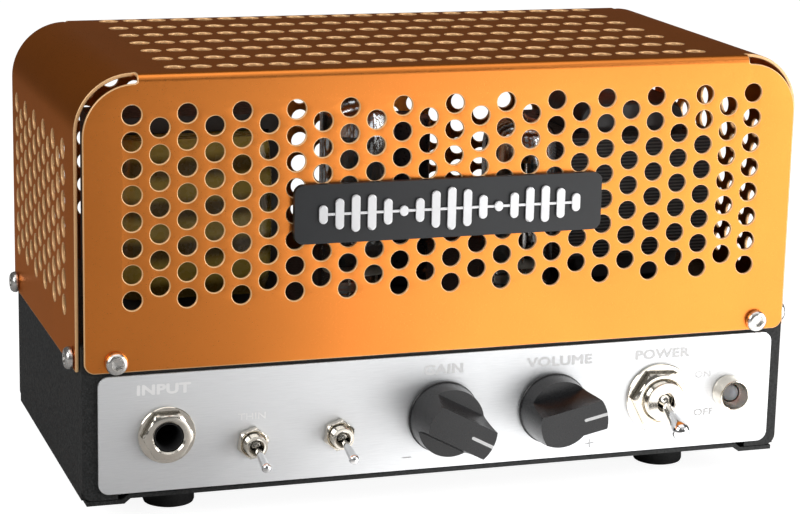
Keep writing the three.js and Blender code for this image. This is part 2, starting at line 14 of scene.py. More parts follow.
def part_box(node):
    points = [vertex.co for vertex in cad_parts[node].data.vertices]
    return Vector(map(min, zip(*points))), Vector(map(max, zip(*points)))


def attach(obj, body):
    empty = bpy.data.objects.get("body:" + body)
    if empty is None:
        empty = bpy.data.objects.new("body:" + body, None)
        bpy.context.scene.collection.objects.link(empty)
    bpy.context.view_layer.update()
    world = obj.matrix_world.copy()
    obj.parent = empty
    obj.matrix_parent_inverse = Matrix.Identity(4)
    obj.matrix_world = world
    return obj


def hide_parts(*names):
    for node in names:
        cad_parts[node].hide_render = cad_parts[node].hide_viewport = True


MM = 0.001
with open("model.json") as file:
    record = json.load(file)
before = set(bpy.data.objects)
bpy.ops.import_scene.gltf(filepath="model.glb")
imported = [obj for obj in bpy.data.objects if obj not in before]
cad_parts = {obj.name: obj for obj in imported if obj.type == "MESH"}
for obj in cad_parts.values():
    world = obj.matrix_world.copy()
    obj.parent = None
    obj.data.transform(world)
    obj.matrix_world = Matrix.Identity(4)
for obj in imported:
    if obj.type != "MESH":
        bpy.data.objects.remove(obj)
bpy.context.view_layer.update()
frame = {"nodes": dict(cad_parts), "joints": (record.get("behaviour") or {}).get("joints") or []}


# ---- Where the CAD says things are, in millimetres ----
def extent(node):
    """Lowest and highest corner of a CAD node."""
    low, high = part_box(node)
    return low / MM, high / MM


def centre(node):
    low, high = extent(node)
    return (low + high) / 2


def depths(node):
    """How far in front of the front panel's face a CAD node starts and ends."""
    low, high = extent(node)
    return PANEL_LOW.y - high.y, PANEL_LOW.y - low.y


HOOD_LOW, HOOD_HIGH = extent("hood")
PANEL_LOW, PANEL_HIGH = extent("front_panel")
CHASSIS_HIGH = extent("chassis")[1]
FRONT = HOOD_LOW.y
REAR = HOOD_HIGH.y

# ---- Dimensions that the CAD solids leave out ----
SEAT = 0.25  # clearance left between faces that touch
HOOD_SHEET = 1.0
HOOD_CORNER = 16.0  # outer radius of the two big bends
HOOD_SETBACK = 3.2  # the wrapped sides stop this far behind the front face
HOOD_PANEL_GAP = 0.8  # slot between the folded end faces and the wrapped sides
SHARP_BEND = 2.0  # outer radius of the bend over the front panel
RELIEF_SLOT = 0.6  # width of the slot sawn at each end of that bend
END_ARC_DROP = 0.4  # the end faces' big arcs stay this much below that bend
HOLE_RADIUS = 2.65
HOLE_SIDES = 28
SCREW_HOLE = 1.8
BEND_STEPS = 24
BOTTOM_STEP = 1.4  # how far the ends of the bottom plate are stepped down
FLAT_HALF = HOOD_HIGH.x - HOOD_CORNER  # half length of the hood's flat top

# Controls: what shows in front of the panel, measured from its face.
KNOB = {
    "base": 0.9, "top": 16.9, "rim": 10.4, "skirt": 10.1, "shoulder": 9.6, "tip": 10.55, "lobe": 8.0,
}
KNOB_BAR_HALF = 4.25  # half width of the pointer bar on top
KNOB_WALL_FOOT = 5.9  # how far out the bar's scooped walls reach the lobes
POINTERS = {"gain": -28.0, "volume": 12.0}  # degrees anticlockwise from pointing right
MINI_TOGGLE = {
    "bushing": 3.05, "bore": 2.1, "reach": 5.6, "ball": 1.7, "neck": 0.95, "tip": 1.4, "length": 11.6,
}
POWER_TOGGLE = {
    "bushing": 5.8, "bore": 2.7, "reach": 6.1, "ball": 2.3, "neck": 1.5, "tip": 2.65, "length": 14.0,
}
LEVER_REST = {"tone": 13.0, "voice": 13.0, "power": 22.0}  # degrees that a lever hangs down at rest


# ---- Materials: a Principled shader with object-space detail, one method for each kind ----
class Finish:
    def __init__(self, name, colour, metallic=0.0, roughness=0.5, **sockets):
        self.material = bpy.data.materials.new(name)
        self.material.use_nodes = True
        tree = self.material.node_tree
        self.nodes = tree.nodes
        self.links = tree.links
        self.shader = self.nodes["Principled BSDF"]
        self.normal = None
        sockets = {"Base Color": (*colour, 1.0), "Metallic": metallic, "Roughness": roughness, **sockets}
        for socket, value in sockets.items():
            self.shader.inputs[socket].default_value = value

    def node(self, kind, **settings):
        made = self.nodes.new(kind)
        for key, value in settings.items():
            setattr(made, key, value)
        return made

    def calculate(self, operation, *values):
        """A math node's result. Each value is a number or the output of another node."""
        made = self.node("ShaderNodeMath", operation=operation)
        for socket, value in zip(made.inputs, values):
            if isinstance(value, float):
                socket.default_value = value
            else:
                self.links.new(value, socket)
        return made.outputs["Value"]

    def position(self, stretch):
        """Object coordinates, stretched along the axes."""
        source = self.node("ShaderNodeTexCoord")
        mapping = self.node("ShaderNodeMapping")
        mapping.inputs["Scale"].default_value = stretch
        self.links.new(source.outputs["Object"], mapping.inputs["Vector"])
        return mapping.outputs["Vector"]

    def noise(self, size, stretch=(1, 1, 1), detail=3.0):
        """Noise whose features are about size millimetres across."""
        texture = self.node("ShaderNodeTexNoise")
        texture.inputs["Scale"].default_value = 1 / (size * MM)
        texture.inputs["Detail"].default_value = detail
        self.links.new(self.position(stretch), texture.inputs["Vector"])
        return texture.outputs["Fac"]

    def bands(self, pitch, axis, wander=0.0):
        """Soft bands across an axis, one every pitch millimetres."""
        texture = self.node("ShaderNodeTexWave", wave_type="BANDS", bands_direction=axis)
        texture.inputs["Scale"].default_value = 0.314 / (pitch * MM)
        texture.inputs["Distortion"].default_value = wander
        texture.inputs["Detail"].default_value = 2.0
        self.links.new(self.position((1, 1, 1)), texture.inputs["Vector"])
        return texture.outputs["Fac"]

    def colour(self, fac, stops):
        """Base colour from a ramp: stops are (position, colour)."""
        ramp = self.node("ShaderNodeValToRGB")
        points = ramp.color_ramp.elements
        while len(points) < len(stops):
            points.new(0.5)
        for point, (place, shade) in zip(points, stops):
            point.position = place
            point.color = (*shade, 1.0)
        self.links.new(fac, ramp.inputs["Fac"])
        self.links.new(ramp.outputs["Color"], self.shader.inputs["Base Color"])

    def roughness(self, fac, low, high):
        spread = self.node("ShaderNodeMapRange")
        spread.inputs["From Min"].default_value = 0.3
        spread.inputs["From Max"].default_value = 0.7
        spread.inputs["To Min"].default_value = low
        spread.inputs["To Max"].default_value = high
        self.links.new(fac, spread.inputs["Value"])
        self.links.new(spread.outputs["Result"], self.shader.inputs["Roughness"])

    def bump(self, fac, depth):
        """Relief of that depth in millimetres, over any relief given before."""
        relief = self.node("ShaderNodeBump")
        relief.inputs["Strength"].default_value = 1.0
        relief.inputs["Distance"].default_value = depth * MM
        self.links.new(fac, relief.inputs["Height"])
        if self.normal is not None:
            self.links.new(self.normal, relief.inputs["Normal"])
        self.normal = relief.outputs["Normal"]
        self.links.new(self.normal, self.shader.inputs["Normal"])


def shade(colour, factor):
    return tuple(min(1.0, channel * factor) for channel in colour)


def grained(name, colour, grain, depth, spread=0.15, polish=(0.4, 0.5), metallic=0.0, **sockets):
    """A surface with one scale of grain in relief and roughness, and a broad, faint change of colour."""
    made = Finish(name, colour, metallic, **sockets)
    fine = made.noise(grain)
    cloud = made.noise(grain * 25, detail=4.0)
    made.colour(cloud, [(0.3, shade(colour, 1 - spread)), (0.7, shade(colour, 1 + spread))])
    made.roughness(fine, *polish)
    made.bump(fine, depth)
    return made.material


def copper_finish(name, colour, polish):
    """Satin anodised sheet: very fine grain and faint cloudiness."""
    made = Finish(name, colour, 1.0, **{"Specular Tint": (0.95, 0.55, 0.28, 1.0), "Coat Weight": 0.2})
    made.shader.inputs["Coat Roughness"].default_value = 0.35
    cloud = made.noise(45, detail=4.0)
    made.colour(cloud, [(0.3, shade(colour, 0.95)), (0.7, shade(colour, 1.05))])
    made.roughness(made.noise(0.35), *polish)
    made.bump(made.noise(0.22, detail=2.0), 0.0015)
    return made.material


def powder_finish():
    """Black powder coat: pebbled at about a third of a millimetre, with greyer high spots."""
    made = Finish("black_powder_coat", (0.02, 0.021, 0.021), 0.0, **{"Specular IOR Level": 0.35})
    pebbles = made.noise(0.55, detail=2.5)
    made.colour(pebbles, [(0.35, (0.008, 0.0085, 0.0085)), (0.68, (0.027, 0.028, 0.028))])
    made.roughness(made.noise(0.9), 0.48, 0.7)
    made.bump(pebbles, 0.12)
    return made.material


def brushed_finish(name, dark, light, polish):
    """Aluminium brushed along X: long thin scratches of several lengths."""
    made = Finish(name, light, 1.0, **{"Anisotropic": 0.35})
    long_lines = made.noise(0.12, (0.02, 1, 1), 6.0)
    short_lines = made.noise(0.10, (0.06, 1, 1), 3.0)
    made.colour(long_lines, [(0.32, dark), (0.66, light)])
    made.roughness(short_lines, *polish)
    made.bump(long_lines, 0.0010)
    made.bump(short_lines, 0.0007)
    return made.material


def nickel_finish(name, colour, polish, grain=0.5):
    """Plating: bright, with faint tarnish clouds and fine handling marks."""
    made = Finish(name, colour, 1.0)
    made.colour(made.noise(4.0, detail=5.0), [(0.3, shade(colour, 0.88)), (0.7, shade(colour, 1.06))])
    made.roughness(made.noise(grain, detail=4.0), *polish)
    made.bump(made.noise(grain * 2), 0.0015)
    return made.material


def knob_finish():
    """Satin moulded plastic with a very fine spark-eroded grain."""
    made = Finish("knob_black", (0.008, 0.008, 0.009), 0.0, **{"Specular IOR Level": 0.45})
    fine = made.noise(0.18, detail=2.0)
    made.colour(made.noise(6.0, detail=4.0), [(0.3, (0.006, 0.006, 0.007)), (0.7, (0.011, 0.011, 0.012))])
    made.roughness(fine, 0.22, 0.34)
    made.bump(fine, 0.004)
    return made.material


def tape_finish(name, dark, light, polish, pitch):
    """Wound tape: overlapping bands with lifted edges, and clouds where it is not stuck down."""
    made = Finish(name, light, 0.0, **{"Coat Weight": 0.4, "Coat Roughness": 0.12})
    lap = made.bands(pitch, "Z", 0.6)
    made.colour(made.bands(pitch * 1.7, "Z", 1.2), [(0.15, dark), (0.75, light)])
    made.roughness(made.noise(2.0), *polish)
    made.bump(lap, 0.12)
    made.bump(made.noise(3.0), 0.15)
    return made.material


def laminated_finish(name, axis):
    """Varnished stack of steel laminations: an edge every half millimetre."""
    made = Finish(name, (0.05, 0.05, 0.055), 0.5)
    edges = made.bands(1.0, axis, 0.3)
    made.colour(edges, [(0.2, (0.02, 0.02, 0.022)), (0.8, (0.085, 0.083, 0.08))])
    made.roughness(made.noise(1.5), 0.35, 0.6)
    made.bump(edges, 0.12)
    return made.material


def glass_finish():
    made = Finish("valve_glass", (0.96, 0.98, 0.98), 0.0, **{"Transmission Weight": 1.0, "IOR": 1.45})
    made.roughness(made.noise(8.0), 0.015, 0.05)
    made.bump(made.noise(6.0), 0.01)
    return made.material


def ink_finish(name, colour):
    """Screen-printed ink with a faint mottle."""
    return grained(name, colour, 0.25, 0.002, 0.05, (0.55, 0.7))


COPPER = copper_finish("copper_anodised_hood", (0.85, 0.26, 0.042), (0.27, 0.35))
# Cut edges of the holes and the sheet: raw metal at the cut, partly, and partly a painted highlight, its
# colour made brighter so that the rims look lit from every side.
COPPER_EDGE_AND_HIGHLIGHT = grained("copper_cut_edge_and_highlight", (1.0, 0.60, 0.29), 0.3, 0.001, 0.04, (0.3, 0.42), 0.3)
POWDER = powder_finish()
BRUSHED = brushed_finish("brushed_front_panel", (0.76, 0.77, 0.78), (0.82, 0.83, 0.84), (0.52, 0.64))
BRUSHED_EDGE = nickel_finish("bright_cut_aluminium", (0.92, 0.93, 0.94), (0.14, 0.24))
NICKEL = nickel_finish("nickel_plate", (0.84, 0.79, 0.70), (0.10, 0.22))
CHROME = nickel_finish("bright_chrome", (0.86, 0.86, 0.86), (0.05, 0.13))
SCREW = nickel_finish("screw_steel", (0.78, 0.76, 0.73), (0.18, 0.32), 0.3)
KNOB_BLACK = knob_finish()
INLAY = ink_finish("white_inlay", (0.88, 0.88, 0.88))
INK = ink_finish("pale_grey_ink", (0.97, 0.97, 0.97))
MOULDED = grained("moulded_black", (0.020, 0.020, 0.021), 0.4, 0.01, 0.2, (0.35, 0.5))
RUBBER = grained("foot_rubber", (0.018, 0.018, 0.018), 0.5, 0.03, 0.25, (0.65, 0.85))
BADGE_BLACK = grained("badge_black", (0.010, 0.011, 0.013), 0.3, 0.002, 0.15, (0.3, 0.4))
BADGE_SILVER = grained("badge_silver", (0.80, 0.80, 0.81), 0.25, 0.002, 0.05, (0.3, 0.4), 0.55)
LENS = grained("lamp_lens", (0.30, 0.28, 0.31), 0.6, 0.01, 0.08, (0.3, 0.45), **{"Subsurface Weight": 0.3})
GLASS = glass_finish()
GETTER = nickel_finish("getter_flash", (0.62, 0.63, 0.66), (0.08, 0.2))
ANODE = grained("anode_grey", (0.075, 0.077, 0.08), 0.5, 0.01, 0.2, (0.45, 0.6), 0.6)
MICA = grained("mica", (0.62, 0.60, 0.54), 0.8, 0.01, 0.1, (0.3, 0.4))
CERAMIC = grained("socket_ceramic", (0.78, 0.76, 0.70), 0.7, 0.01, 0.04, (0.3, 0.45))
LAMINATED_UP = laminated_finish("laminated_steel", "Z")
LAMINATED_DEEP = laminated_finish("laminated_steel_upright", "Y")
BLACK_TAPE = tape_finish("black_tape", (0.012, 0.012, 0.014), (0.035, 0.035, 0.04), (0.35, 0.5), 6.0)
YELLOW_TAPE = tape_finish("yellow_tape", (0.10, 0.065, 0.008), (0.44, 0.34, 0.07), (0.2, 0.35), 7.0)
SLEEVE = grained("capacitor_sleeve", (0.022, 0.022, 0.028), 1.2, 0.01, 0.2, (0.25, 0.35))
BOARD = grained("board_green", (0.035, 0.16, 0.07), 1.0, 0.01, 0.15, (0.3, 0.45))
BRASS = nickel_finish("brass_pin", (0.80, 0.62, 0.32), (0.15, 0.28))


# ---- Mesh helpers, in millimetres ----
def turned(rings, sides=40, closed=False):
    """A turned piece about +Z. Each ring is (radius, height), and a radius may be a function of the angle.
    closed joins the last ring to the first, for a piece with a hole through it."""
    bm = bmesh.new()
    loops = []
    for radius, height in rings:
        if radius == 0:
            loops.append([bm.verts.new((0, 0, height))])
            continue
        loop = []
        for i in range(sides):
            angle = 2 * math.pi * i / sides
            reach = radius(angle) if callable(radius) else radius
            loop.append(bm.verts.new((reach * math.cos(angle), reach * math.sin(angle), height)))
        loops.append(loop)
    following = loops[1:] + (loops[:1] if closed else [])
    for low, high in zip(loops, following):
        for i in range(sides):
            j = (i + 1) % sides
            corners = [low[i % len(low)], low[j % len(low)], high[j % len(high)], high[i % len(high)]]
            bm.faces.new(list(dict.fromkeys(corners)))
    bmesh.ops.recalc_face_normals(bm, faces=bm.faces)
    return bm


def hexagonal(flat):
    """Radius of a hexagon with that half width across flats, as a function of the angle."""
    return lambda angle: flat / math.cos(angle % (math.pi / 3) - math.pi / 6)


def arc(x, y, radius, start, sweep, steps):
    """Points along an arc, anticlockwise from start, both ends included."""
    angles = [math.radians(start + sweep * i / steps) for i in range(steps + 1)]
    return [(x + radius * math.cos(a), y + radius * math.sin(a)) for a in angles]


def rounded(x0, x1, y0, y1, radius, steps=8):
    """Outline of a rounded rectangle, anticlockwise."""
    points = []
    corners = [(x1 - radius, y0 + radius, -90), (x1 - radius, y1 - radius, 0)]
    corners += [(x0 + radius, y1 - radius, 90), (x0 + radius, y0 + radius, 180)]
    for x, y, start in corners:
        points += arc(x, y, radius, start, 90, steps)
    return points


def circle(x, y, radius, sides=HOLE_SIDES):
    angles = [2 * math.pi * (i + 0.5) / sides for i in range(sides)]
    return [(x + radius * math.cos(a), y + radius * math.sin(a)) for a in angles]


def filled(outline, holes=()):
    """Triangles that fill an outline and leave its holes open: points, and triples of their places."""
    points = []
    edges = []
    owner = []
    for number, loop in enumerate([outline, *holes]):
        first = len(points)
        points += [Vector(p) for p in loop]
        edges += [(first + i, first + (i + 1) % len(loop)) for i in range(len(loop))]
        owner += [number] * len(loop)
    corners, _, faces, origins, _, _ = delaunay_2d_cdt(points, edges, [], 1, 1e-5)
    loop_of = [owner[origin[0]] for origin in origins]
    # Every hole is convex, so a triangle with all its corners on one hole lies inside it.
    kept = [face for face in faces if loop_of[face[0]] == 0 or len({loop_of[i] for i in face}) > 1]
    return [tuple(p) for p in corners], [tuple(face) for face in kept]


def plate(outline, thickness, holes=()):
    """A flat plate in the XY plane from z = 0 up to its thickness."""
    bm = bmesh.new()
    points, faces = filled(outline, holes)
    verts = [bm.verts.new((x, y, 0)) for x, y in points]
    for face in faces:
        bm.faces.new([verts[i] for i in face])
    bmesh.ops.recalc_face_normals(bm, faces=bm.faces)
    raised = bmesh.ops.extrude_face_region(bm, geom=bm.faces[:])["geom"]
    moved = [v for v in raised if isinstance(v, bmesh.types.BMVert)]
    bmesh.ops.translate(bm, verts=moved, vec=(0, 0, thickness))
    bmesh.ops.recalc_face_normals(bm, faces=bm.faces)
    return bm


def joined(*parts):
    """Several meshes in one."""
    whole = bmesh.new()
    for part in parts:
        scratch = bpy.data.meshes.new("scratch")
        part.to_mesh(scratch)
        part.free()
        whole.from_mesh(scratch)
        bpy.data.meshes.remove(scratch)
    return whole


def shifted(bm, x=0.0, y=0.0, z=0.0, turn=None):
    """The mesh turned, then moved."""
    matrix = Matrix.Translation((x, y, z))
    bm.transform(matrix @ turn if turn else matrix)
    return bm


def about(axis, degrees):
    return Matrix.Rotation(math.radians(degrees), 4, axis)


def make(name, bm, materials, body="amplifier", place=None, replaces=None, bevel=None, sharp=35):
    """One piece of the amplifier from a mesh in millimetres. bevel is (width, segments)."""
    bm.transform(Matrix.Scale(MM, 4) @ (place or Matrix.Identity(4)))
    for face in bm.faces:
        face.smooth = True
    mesh = bpy.data.meshes.new(name)
    bm.to_mesh(mesh)
    bm.free()
    mesh.set_sharp_from_angle(angle=math.radians(sharp))
    materials = materials if isinstance(materials, list) else [materials]
    for material in materials:
        mesh.materials.append(material)
    piece = bpy.data.objects.new(name, mesh)
    bpy.context.scene.collection.objects.link(piece)
    if bevel:
        soften(piece, *bevel)
    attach(piece, body)
    if replaces:
        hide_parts(replaces)
    return piece


def soften(piece, width, segments=2, angle=40, material=-1, clamp=True):
    """Rounds the sharp edges, and keeps the flats looking flat."""
    edge = piece.modifiers.new("soft_edges", "BEVEL")
    edge.width = width * MM
    edge.segments = segments
    edge.limit_method = "ANGLE"
    edge.angle_limit = math.radians(angle)
    edge.material = material
    edge.use_clamp_overlap = clamp
    edge.loop_slide = clamp
    even = piece.modifiers.new("even_shading", "WEIGHTED_NORMAL")
    even.weight = 100
    even.keep_sharp = False


def facing_front(x, z, y=None):
    """Local x right, y up, z out of the front panel."""
    return Matrix.Translation((x, PANEL_LOW.y if y is None else y, z)) @ about("X", 90)


def facing_rear(x, z, y):
    """Local x left, y up, z out of the rear."""
    return Matrix.Translation((x, y, z)) @ about("Z", 180) @ about("X", 90)


def upright(low, high, z):
    """Local axes as the amplifier's, on the middle of a box in plan, at height z."""
    return Matrix.Translation(((low.x + high.x) / 2, (low.y + high.y) / 2, z))


# ---- Hood: one perforated sheet, wrapped over the sides and folded down at the front and rear ----
def staggered(columns, pitch, drop, even, odd):
    """Hole centres in staggered columns. even and odd are (top, count) of each kind of column."""
    middle = (columns - 1) // 2
    for c in range(columns):
        top, count = even if c % 2 == 0 else odd
        for k in range(count):
            yield (c - middle) * pitch, top - drop * k


END_HOLES = list(staggered(25, 7.5, 7.2, (114.8, 8), (111.2, 7)))
SIDE_HOLES = list(staggered(11, 7.2, 7.2, (103.0, 7), (99.4, 6)))
TOP_HOLES = [((j - 10.5) * 7.25, 10.4 + 14.4 * k) for j in range(22) for k in range(7)]
SIDE_MIDDLE = 54.5  # how far behind the front face the middle column of side holes is
SCREW_UP = centre("hood_screw_front_left").z
SCREW_SIDE = centre("hood_screw_front_right").x
SCREW_BEHIND = centre("hood_screw_left_side_front").y - FRONT


def lay(bm, points, faces, place):
    """Adds flat triangles, each point put in space by place(u, v)."""
    verts = [bm.verts.new(place(u, v)) for u, v in points]
    for face in faces:
        bm.faces.new([verts[i] for i in face])


def strip(bm, rows):
    """Adds a grid of quads through rows of points."""
    laid = [[bm.verts.new(p) for p in row] for row in rows]
    for low, high in zip(laid, laid[1:]):
        for i in range(len(low) - 1):
            bm.faces.new([low[i], low[i + 1], high[i + 1], high[i]])


def end_outline():
    """Outline of a folded end face: small corners below, big ones above, flat between the two big bends."""
    half = HOOD_HIGH.x - HOOD_SHEET - HOOD_PANEL_GAP
    low = HOOD_LOW.z
    top = HOOD_HIGH.z - SHARP_BEND
    big = half - FLAT_HALF
    small = 3.0
    points = []
    corners = [(half - small, low + small, small, -90), (half - big, top - END_ARC_DROP - big, big, 0)]
    for x, z, radius, start in corners:
        points += arc(x, z, radius, start, 90, BEND_STEPS)
    points.append((FLAT_HALF - RELIEF_SLOT, top))
    return points + [(-x, z) for x, z in reversed(points)]


def hood_mesh():
    bm = bmesh.new()
    bend_end = FLAT_HALF - RELIEF_SLOT
    top = HOOD_HIGH.z
    slot = HOOD_SETBACK + RELIEF_SLOT
    depth = REAR - FRONT
    ends = {FRONT: 1, REAR: -1}

    end_holes = [circle(x, z, HOLE_RADIUS) for x, z in END_HOLES]
    end_holes += [circle(side * SCREW_SIDE, SCREW_UP, SCREW_HOLE, 16) for side in (-1, 1)]
    face = filled(end_outline(), end_holes)
    for y, inward in ends.items():
        lay(bm, *face, lambda u, v: (u, y, v))
        rows = []
        for i in range(9):
            angle = math.radians(90 * i / 8)
            back = SHARP_BEND * (1 - math.cos(angle))
            up = top - SHARP_BEND + SHARP_BEND * math.sin(angle)
            rows.append([(-bend_end, y + inward * back, up), (bend_end, y + inward * back, up)])
        strip(bm, rows)

    near, far = FRONT + slot, REAR - slot
    outline = [(-bend_end, FRONT + SHARP_BEND), (bend_end, FRONT + SHARP_BEND), (bend_end, near)]
    outline += [(FLAT_HALF, near), (FLAT_HALF, far), (bend_end, far), (bend_end, REAR - SHARP_BEND)]
    outline += [(-bend_end, REAR - SHARP_BEND), (-bend_end, far), (-FLAT_HALF, far)]
    outline += [(-FLAT_HALF, near), (-bend_end, near)]
    top_holes = [circle(x, FRONT + y, HOLE_RADIUS) for x, y in TOP_HOLES]
    lay(bm, *filled(outline, top_holes), lambda u, v: (u, v, top))

    # The two big bends and the sides below them, set back a little at the front and rear.
    edges = [FRONT + HOOD_SETBACK, near, far, REAR - HOOD_SETBACK]
    for side in (-1, 1):
        rows = []
        for i in range(BEND_STEPS + 1):
            angle = math.radians(90 * i / BEND_STEPS)
            x = side * (FLAT_HALF + HOOD_CORNER * math.sin(angle))
            z = top - HOOD_CORNER + HOOD_CORNER * math.cos(angle)
            rows.append([(x, y, z) for y in edges])
        strip(bm, rows)
        shoulder = top - HOOD_CORNER
        outline = [(edges[0], HOOD_LOW.z), (edges[3], HOOD_LOW.z)] + [(y, shoulder) for y in reversed(edges)]
        holes = [circle(FRONT + SIDE_MIDDLE + y, z, HOLE_RADIUS) for y, z in SIDE_HOLES]
        screws = (SCREW_BEHIND, depth - SCREW_BEHIND)
        holes += [circle(FRONT + y, SCREW_UP, SCREW_HOLE, 16) for y in screws]
        lay(bm, *filled(outline, holes), lambda u, v: (side * HOOD_HIGH.x, u, v))

    bmesh.ops.remove_doubles(bm, verts=bm.verts, dist=0.01)
    bmesh.ops.recalc_face_normals(bm, faces=bm.faces)
    highest = max(bm.faces, key=lambda f: f.calc_center_median().z)
    if highest.normal.z < 0:
        bmesh.ops.reverse_faces(bm, faces=bm.faces)
    return bm


def make_hood():
    hood = make("hood_perforated", hood_mesh(), [COPPER, COPPER_EDGE_AND_HIGHLIGHT], replaces="hood", sharp=180)
    sheet = hood.modifiers.new("sheet_thickness", "SOLIDIFY")
    sheet.thickness = HOOD_SHEET * MM
    sheet.offset = -1
    sheet.use_even_offset = True
    sheet.material_offset_rim = 1
    soften(hood, 0.27, 2, 50, 1, clamp=False)


# ---- Screws ----
def button_screw(head, rise, shank, length, socket):
    """Button head with a hexagon socket, z out of the face it sits on."""
    hexagon = hexagonal(socket)
    rings = [(0, -length), (shank - 0.3, -length), (shank, 0.3 - length), (shank, 0)]
    rings += [(head - 0.15, 0), (head, 0.12)]
    for i in range(7):
        angle = math.radians(90 * i / 6)
        radius = head - 0.42 * head * (1 - math.cos(angle))
        rings.append((radius, 0.25 * rise + 0.75 * rise * math.sin(angle)))
    rings += [(lambda a: hexagon(a) + 0.12, rise), (hexagon, 0.92 * rise), (hexagon, 0.35 * rise)]
    rings.append((0, 0.2 * rise))
    return turned(rings, 48)


CORNERS = ("front_left", "rear_left", "front_right", "rear_right")


def make_screws():
    out = {
        "front": about("X", 90), "rear": about("X", -90), "left": about("Y", -90), "right": about("Y", 90),
    }
    for side, sign in (("left", -1), ("right", 1)):
        for end, under_head in (("front", FRONT - SEAT), ("rear", REAR + SEAT)):
            middle = centre(f"hood_screw_{end}_{side}")
            spot = Vector((middle.x, under_head, middle.z))
            set_screw(f"hood_screw_{end}_{side}", spot, out[end], 40 * sign + 7)
            name = f"hood_screw_{side}_side_{end}"
            middle = centre(name)
            spot = Vector((sign * (HOOD_HIGH.x + SEAT), middle.y, middle.z))
            set_screw(name, spot, out[side], 15 * sign + 4)
    for corner in CORNERS:
        name = f"bottom_screw_{corner}"
        low, high = extent(name)
        spot = Vector(((low.x + high.x) / 2, (low.y + high.y) / 2, low.z + 1.5))
        screw = button_screw(2.7, 1.5, 1.2, 5, 1.0)
        place = Matrix.Translation(spot) @ about("X", 180)
        make(f"{name}_head", screw, SCREW, place=place, replaces=name)


def set_screw(name, spot, out, turn):
    place = Matrix.Translation(spot) @ out @ about("Z", turn)
    screw = button_screw(3.15, 2.0, 1.5, 6, 1.45)
    make(f"{name}_head", screw, SCREW, place=place, replaces=name)


# ---- Front panel and its labels ----
def make_front_panel():
    middle = centre("front_panel")
    low, high = PANEL_LOW.z - middle.z, PANEL_HIGH.z - middle.z
    spots = [("input_jack_nut", 4.3), ("tone_switch_nut", 3.4), ("voice_switch_nut", 3.4)]
    spots += [("gain_pot_shaft", 3.8), ("volume_pot_shaft", 3.8), ("power_switch_nut", 6.3)]
    spots.append(("lamp_lens", 4.0))
    holes = [circle(centre(n).x, centre(n).z - middle.z, r, 40) for n, r in spots]
    thickness = PANEL_HIGH.y - PANEL_LOW.y
    mesh = plate(rounded(PANEL_LOW.x, PANEL_HIGH.x, low, high, 3.0, 10), thickness, holes)
    place = facing_front(0, middle.z, PANEL_HIGH.y)
    panel = make("front_panel_plate", mesh, [BRUSHED, BRUSHED_EDGE], place=place, replaces="front_panel")
    soften(panel, 0.25, 2, 40, 1)


def lettering(words, width, height, weight):
    """Flat letters with their middle at the origin, in the XY plane, their strokes grown by weight."""
    curve = bpy.data.curves.new("words", "FONT")
    curve.body = words
    curve.resolution_u = 3
    curve.space_character = 1 + weight
    typed = bpy.data.objects.new("words", curve)
    bpy.context.scene.collection.objects.link(typed)
    bpy.context.view_layer.update()
    mesh = bpy.data.meshes.new_from_object(typed.evaluated_get(bpy.context.evaluated_depsgraph_get()))
    bpy.data.objects.remove(typed)
    bpy.data.curves.remove(curve)

    # The heavier letters are the union of copies shifted round a small circle.
    points = []
    faces = []
    for i in range(8):
        angle = math.radians(45 * i)
        shift = Vector((weight * math.cos(angle), weight * math.sin(angle)))
        faces += [[len(points) + corner for corner in face.vertices] for face in mesh.polygons]
        points += [v.co.to_2d() + shift for v in mesh.vertices]
    bpy.data.meshes.remove(mesh)
    corners, _, pieces, _, _, _ = delaunay_2d_cdt(points, [], faces, 0, 1e-5)
    xs = [p.x for p in corners]
    ys = [p.y for p in corners]
    middle = Vector(((max(xs) + min(xs)) / 2, (max(ys) + min(ys)) / 2))
    scale = (width / (max(xs) - min(xs)), height / (max(ys) - min(ys)))
    bm = bmesh.new()
    verts = [bm.verts.new(((p.x - middle.x) * scale[0], (p.y - middle.y) * scale[1], 0)) for p in corners]
    cover = BVHTree.FromPolygons([p.to_3d() for p in points], faces)
    for piece in pieces:
        spot = sum((corners[i] for i in piece), Vector((0, 0))) / len(piece)
        if cover.ray_cast((*spot, 1), (0, 0, -1))[0] is not None:
            bm.faces.new([verts[i] for i in piece])
    bmesh.ops.delete(bm, geom=[v for v in bm.verts if not v.link_faces], context="VERTS")
    return bm


# Words, the middle of each, its width and height, and how heavy its strokes are.
FRONT_LABELS = {
    "INPUT": (-81.4, 39.3, 15.0, 3.0, 0.045),
    "GAIN": (-1.25, 39.3, 11.7, 3.0, 0.045),
    "VOLUME": (33.8, 39.3, 20.2, 3.0, 0.045),
    "POWER": (65.75, 39.3, 17.1, 3.0, 0.045),
    "THIN": (-56.75, 29.75, 7.9, 1.9, 0.012),
    "ON": (78.85, 32.15, 4.9, 2.1, 0.012),
    "OFF": (79.65, 20.65, 6.3, 2.1, 0.012),
}
SIGNS = {"minus": (-11.6, 14.1), "plus": (44.0, 13.9)}
INK_FILM = 0.03


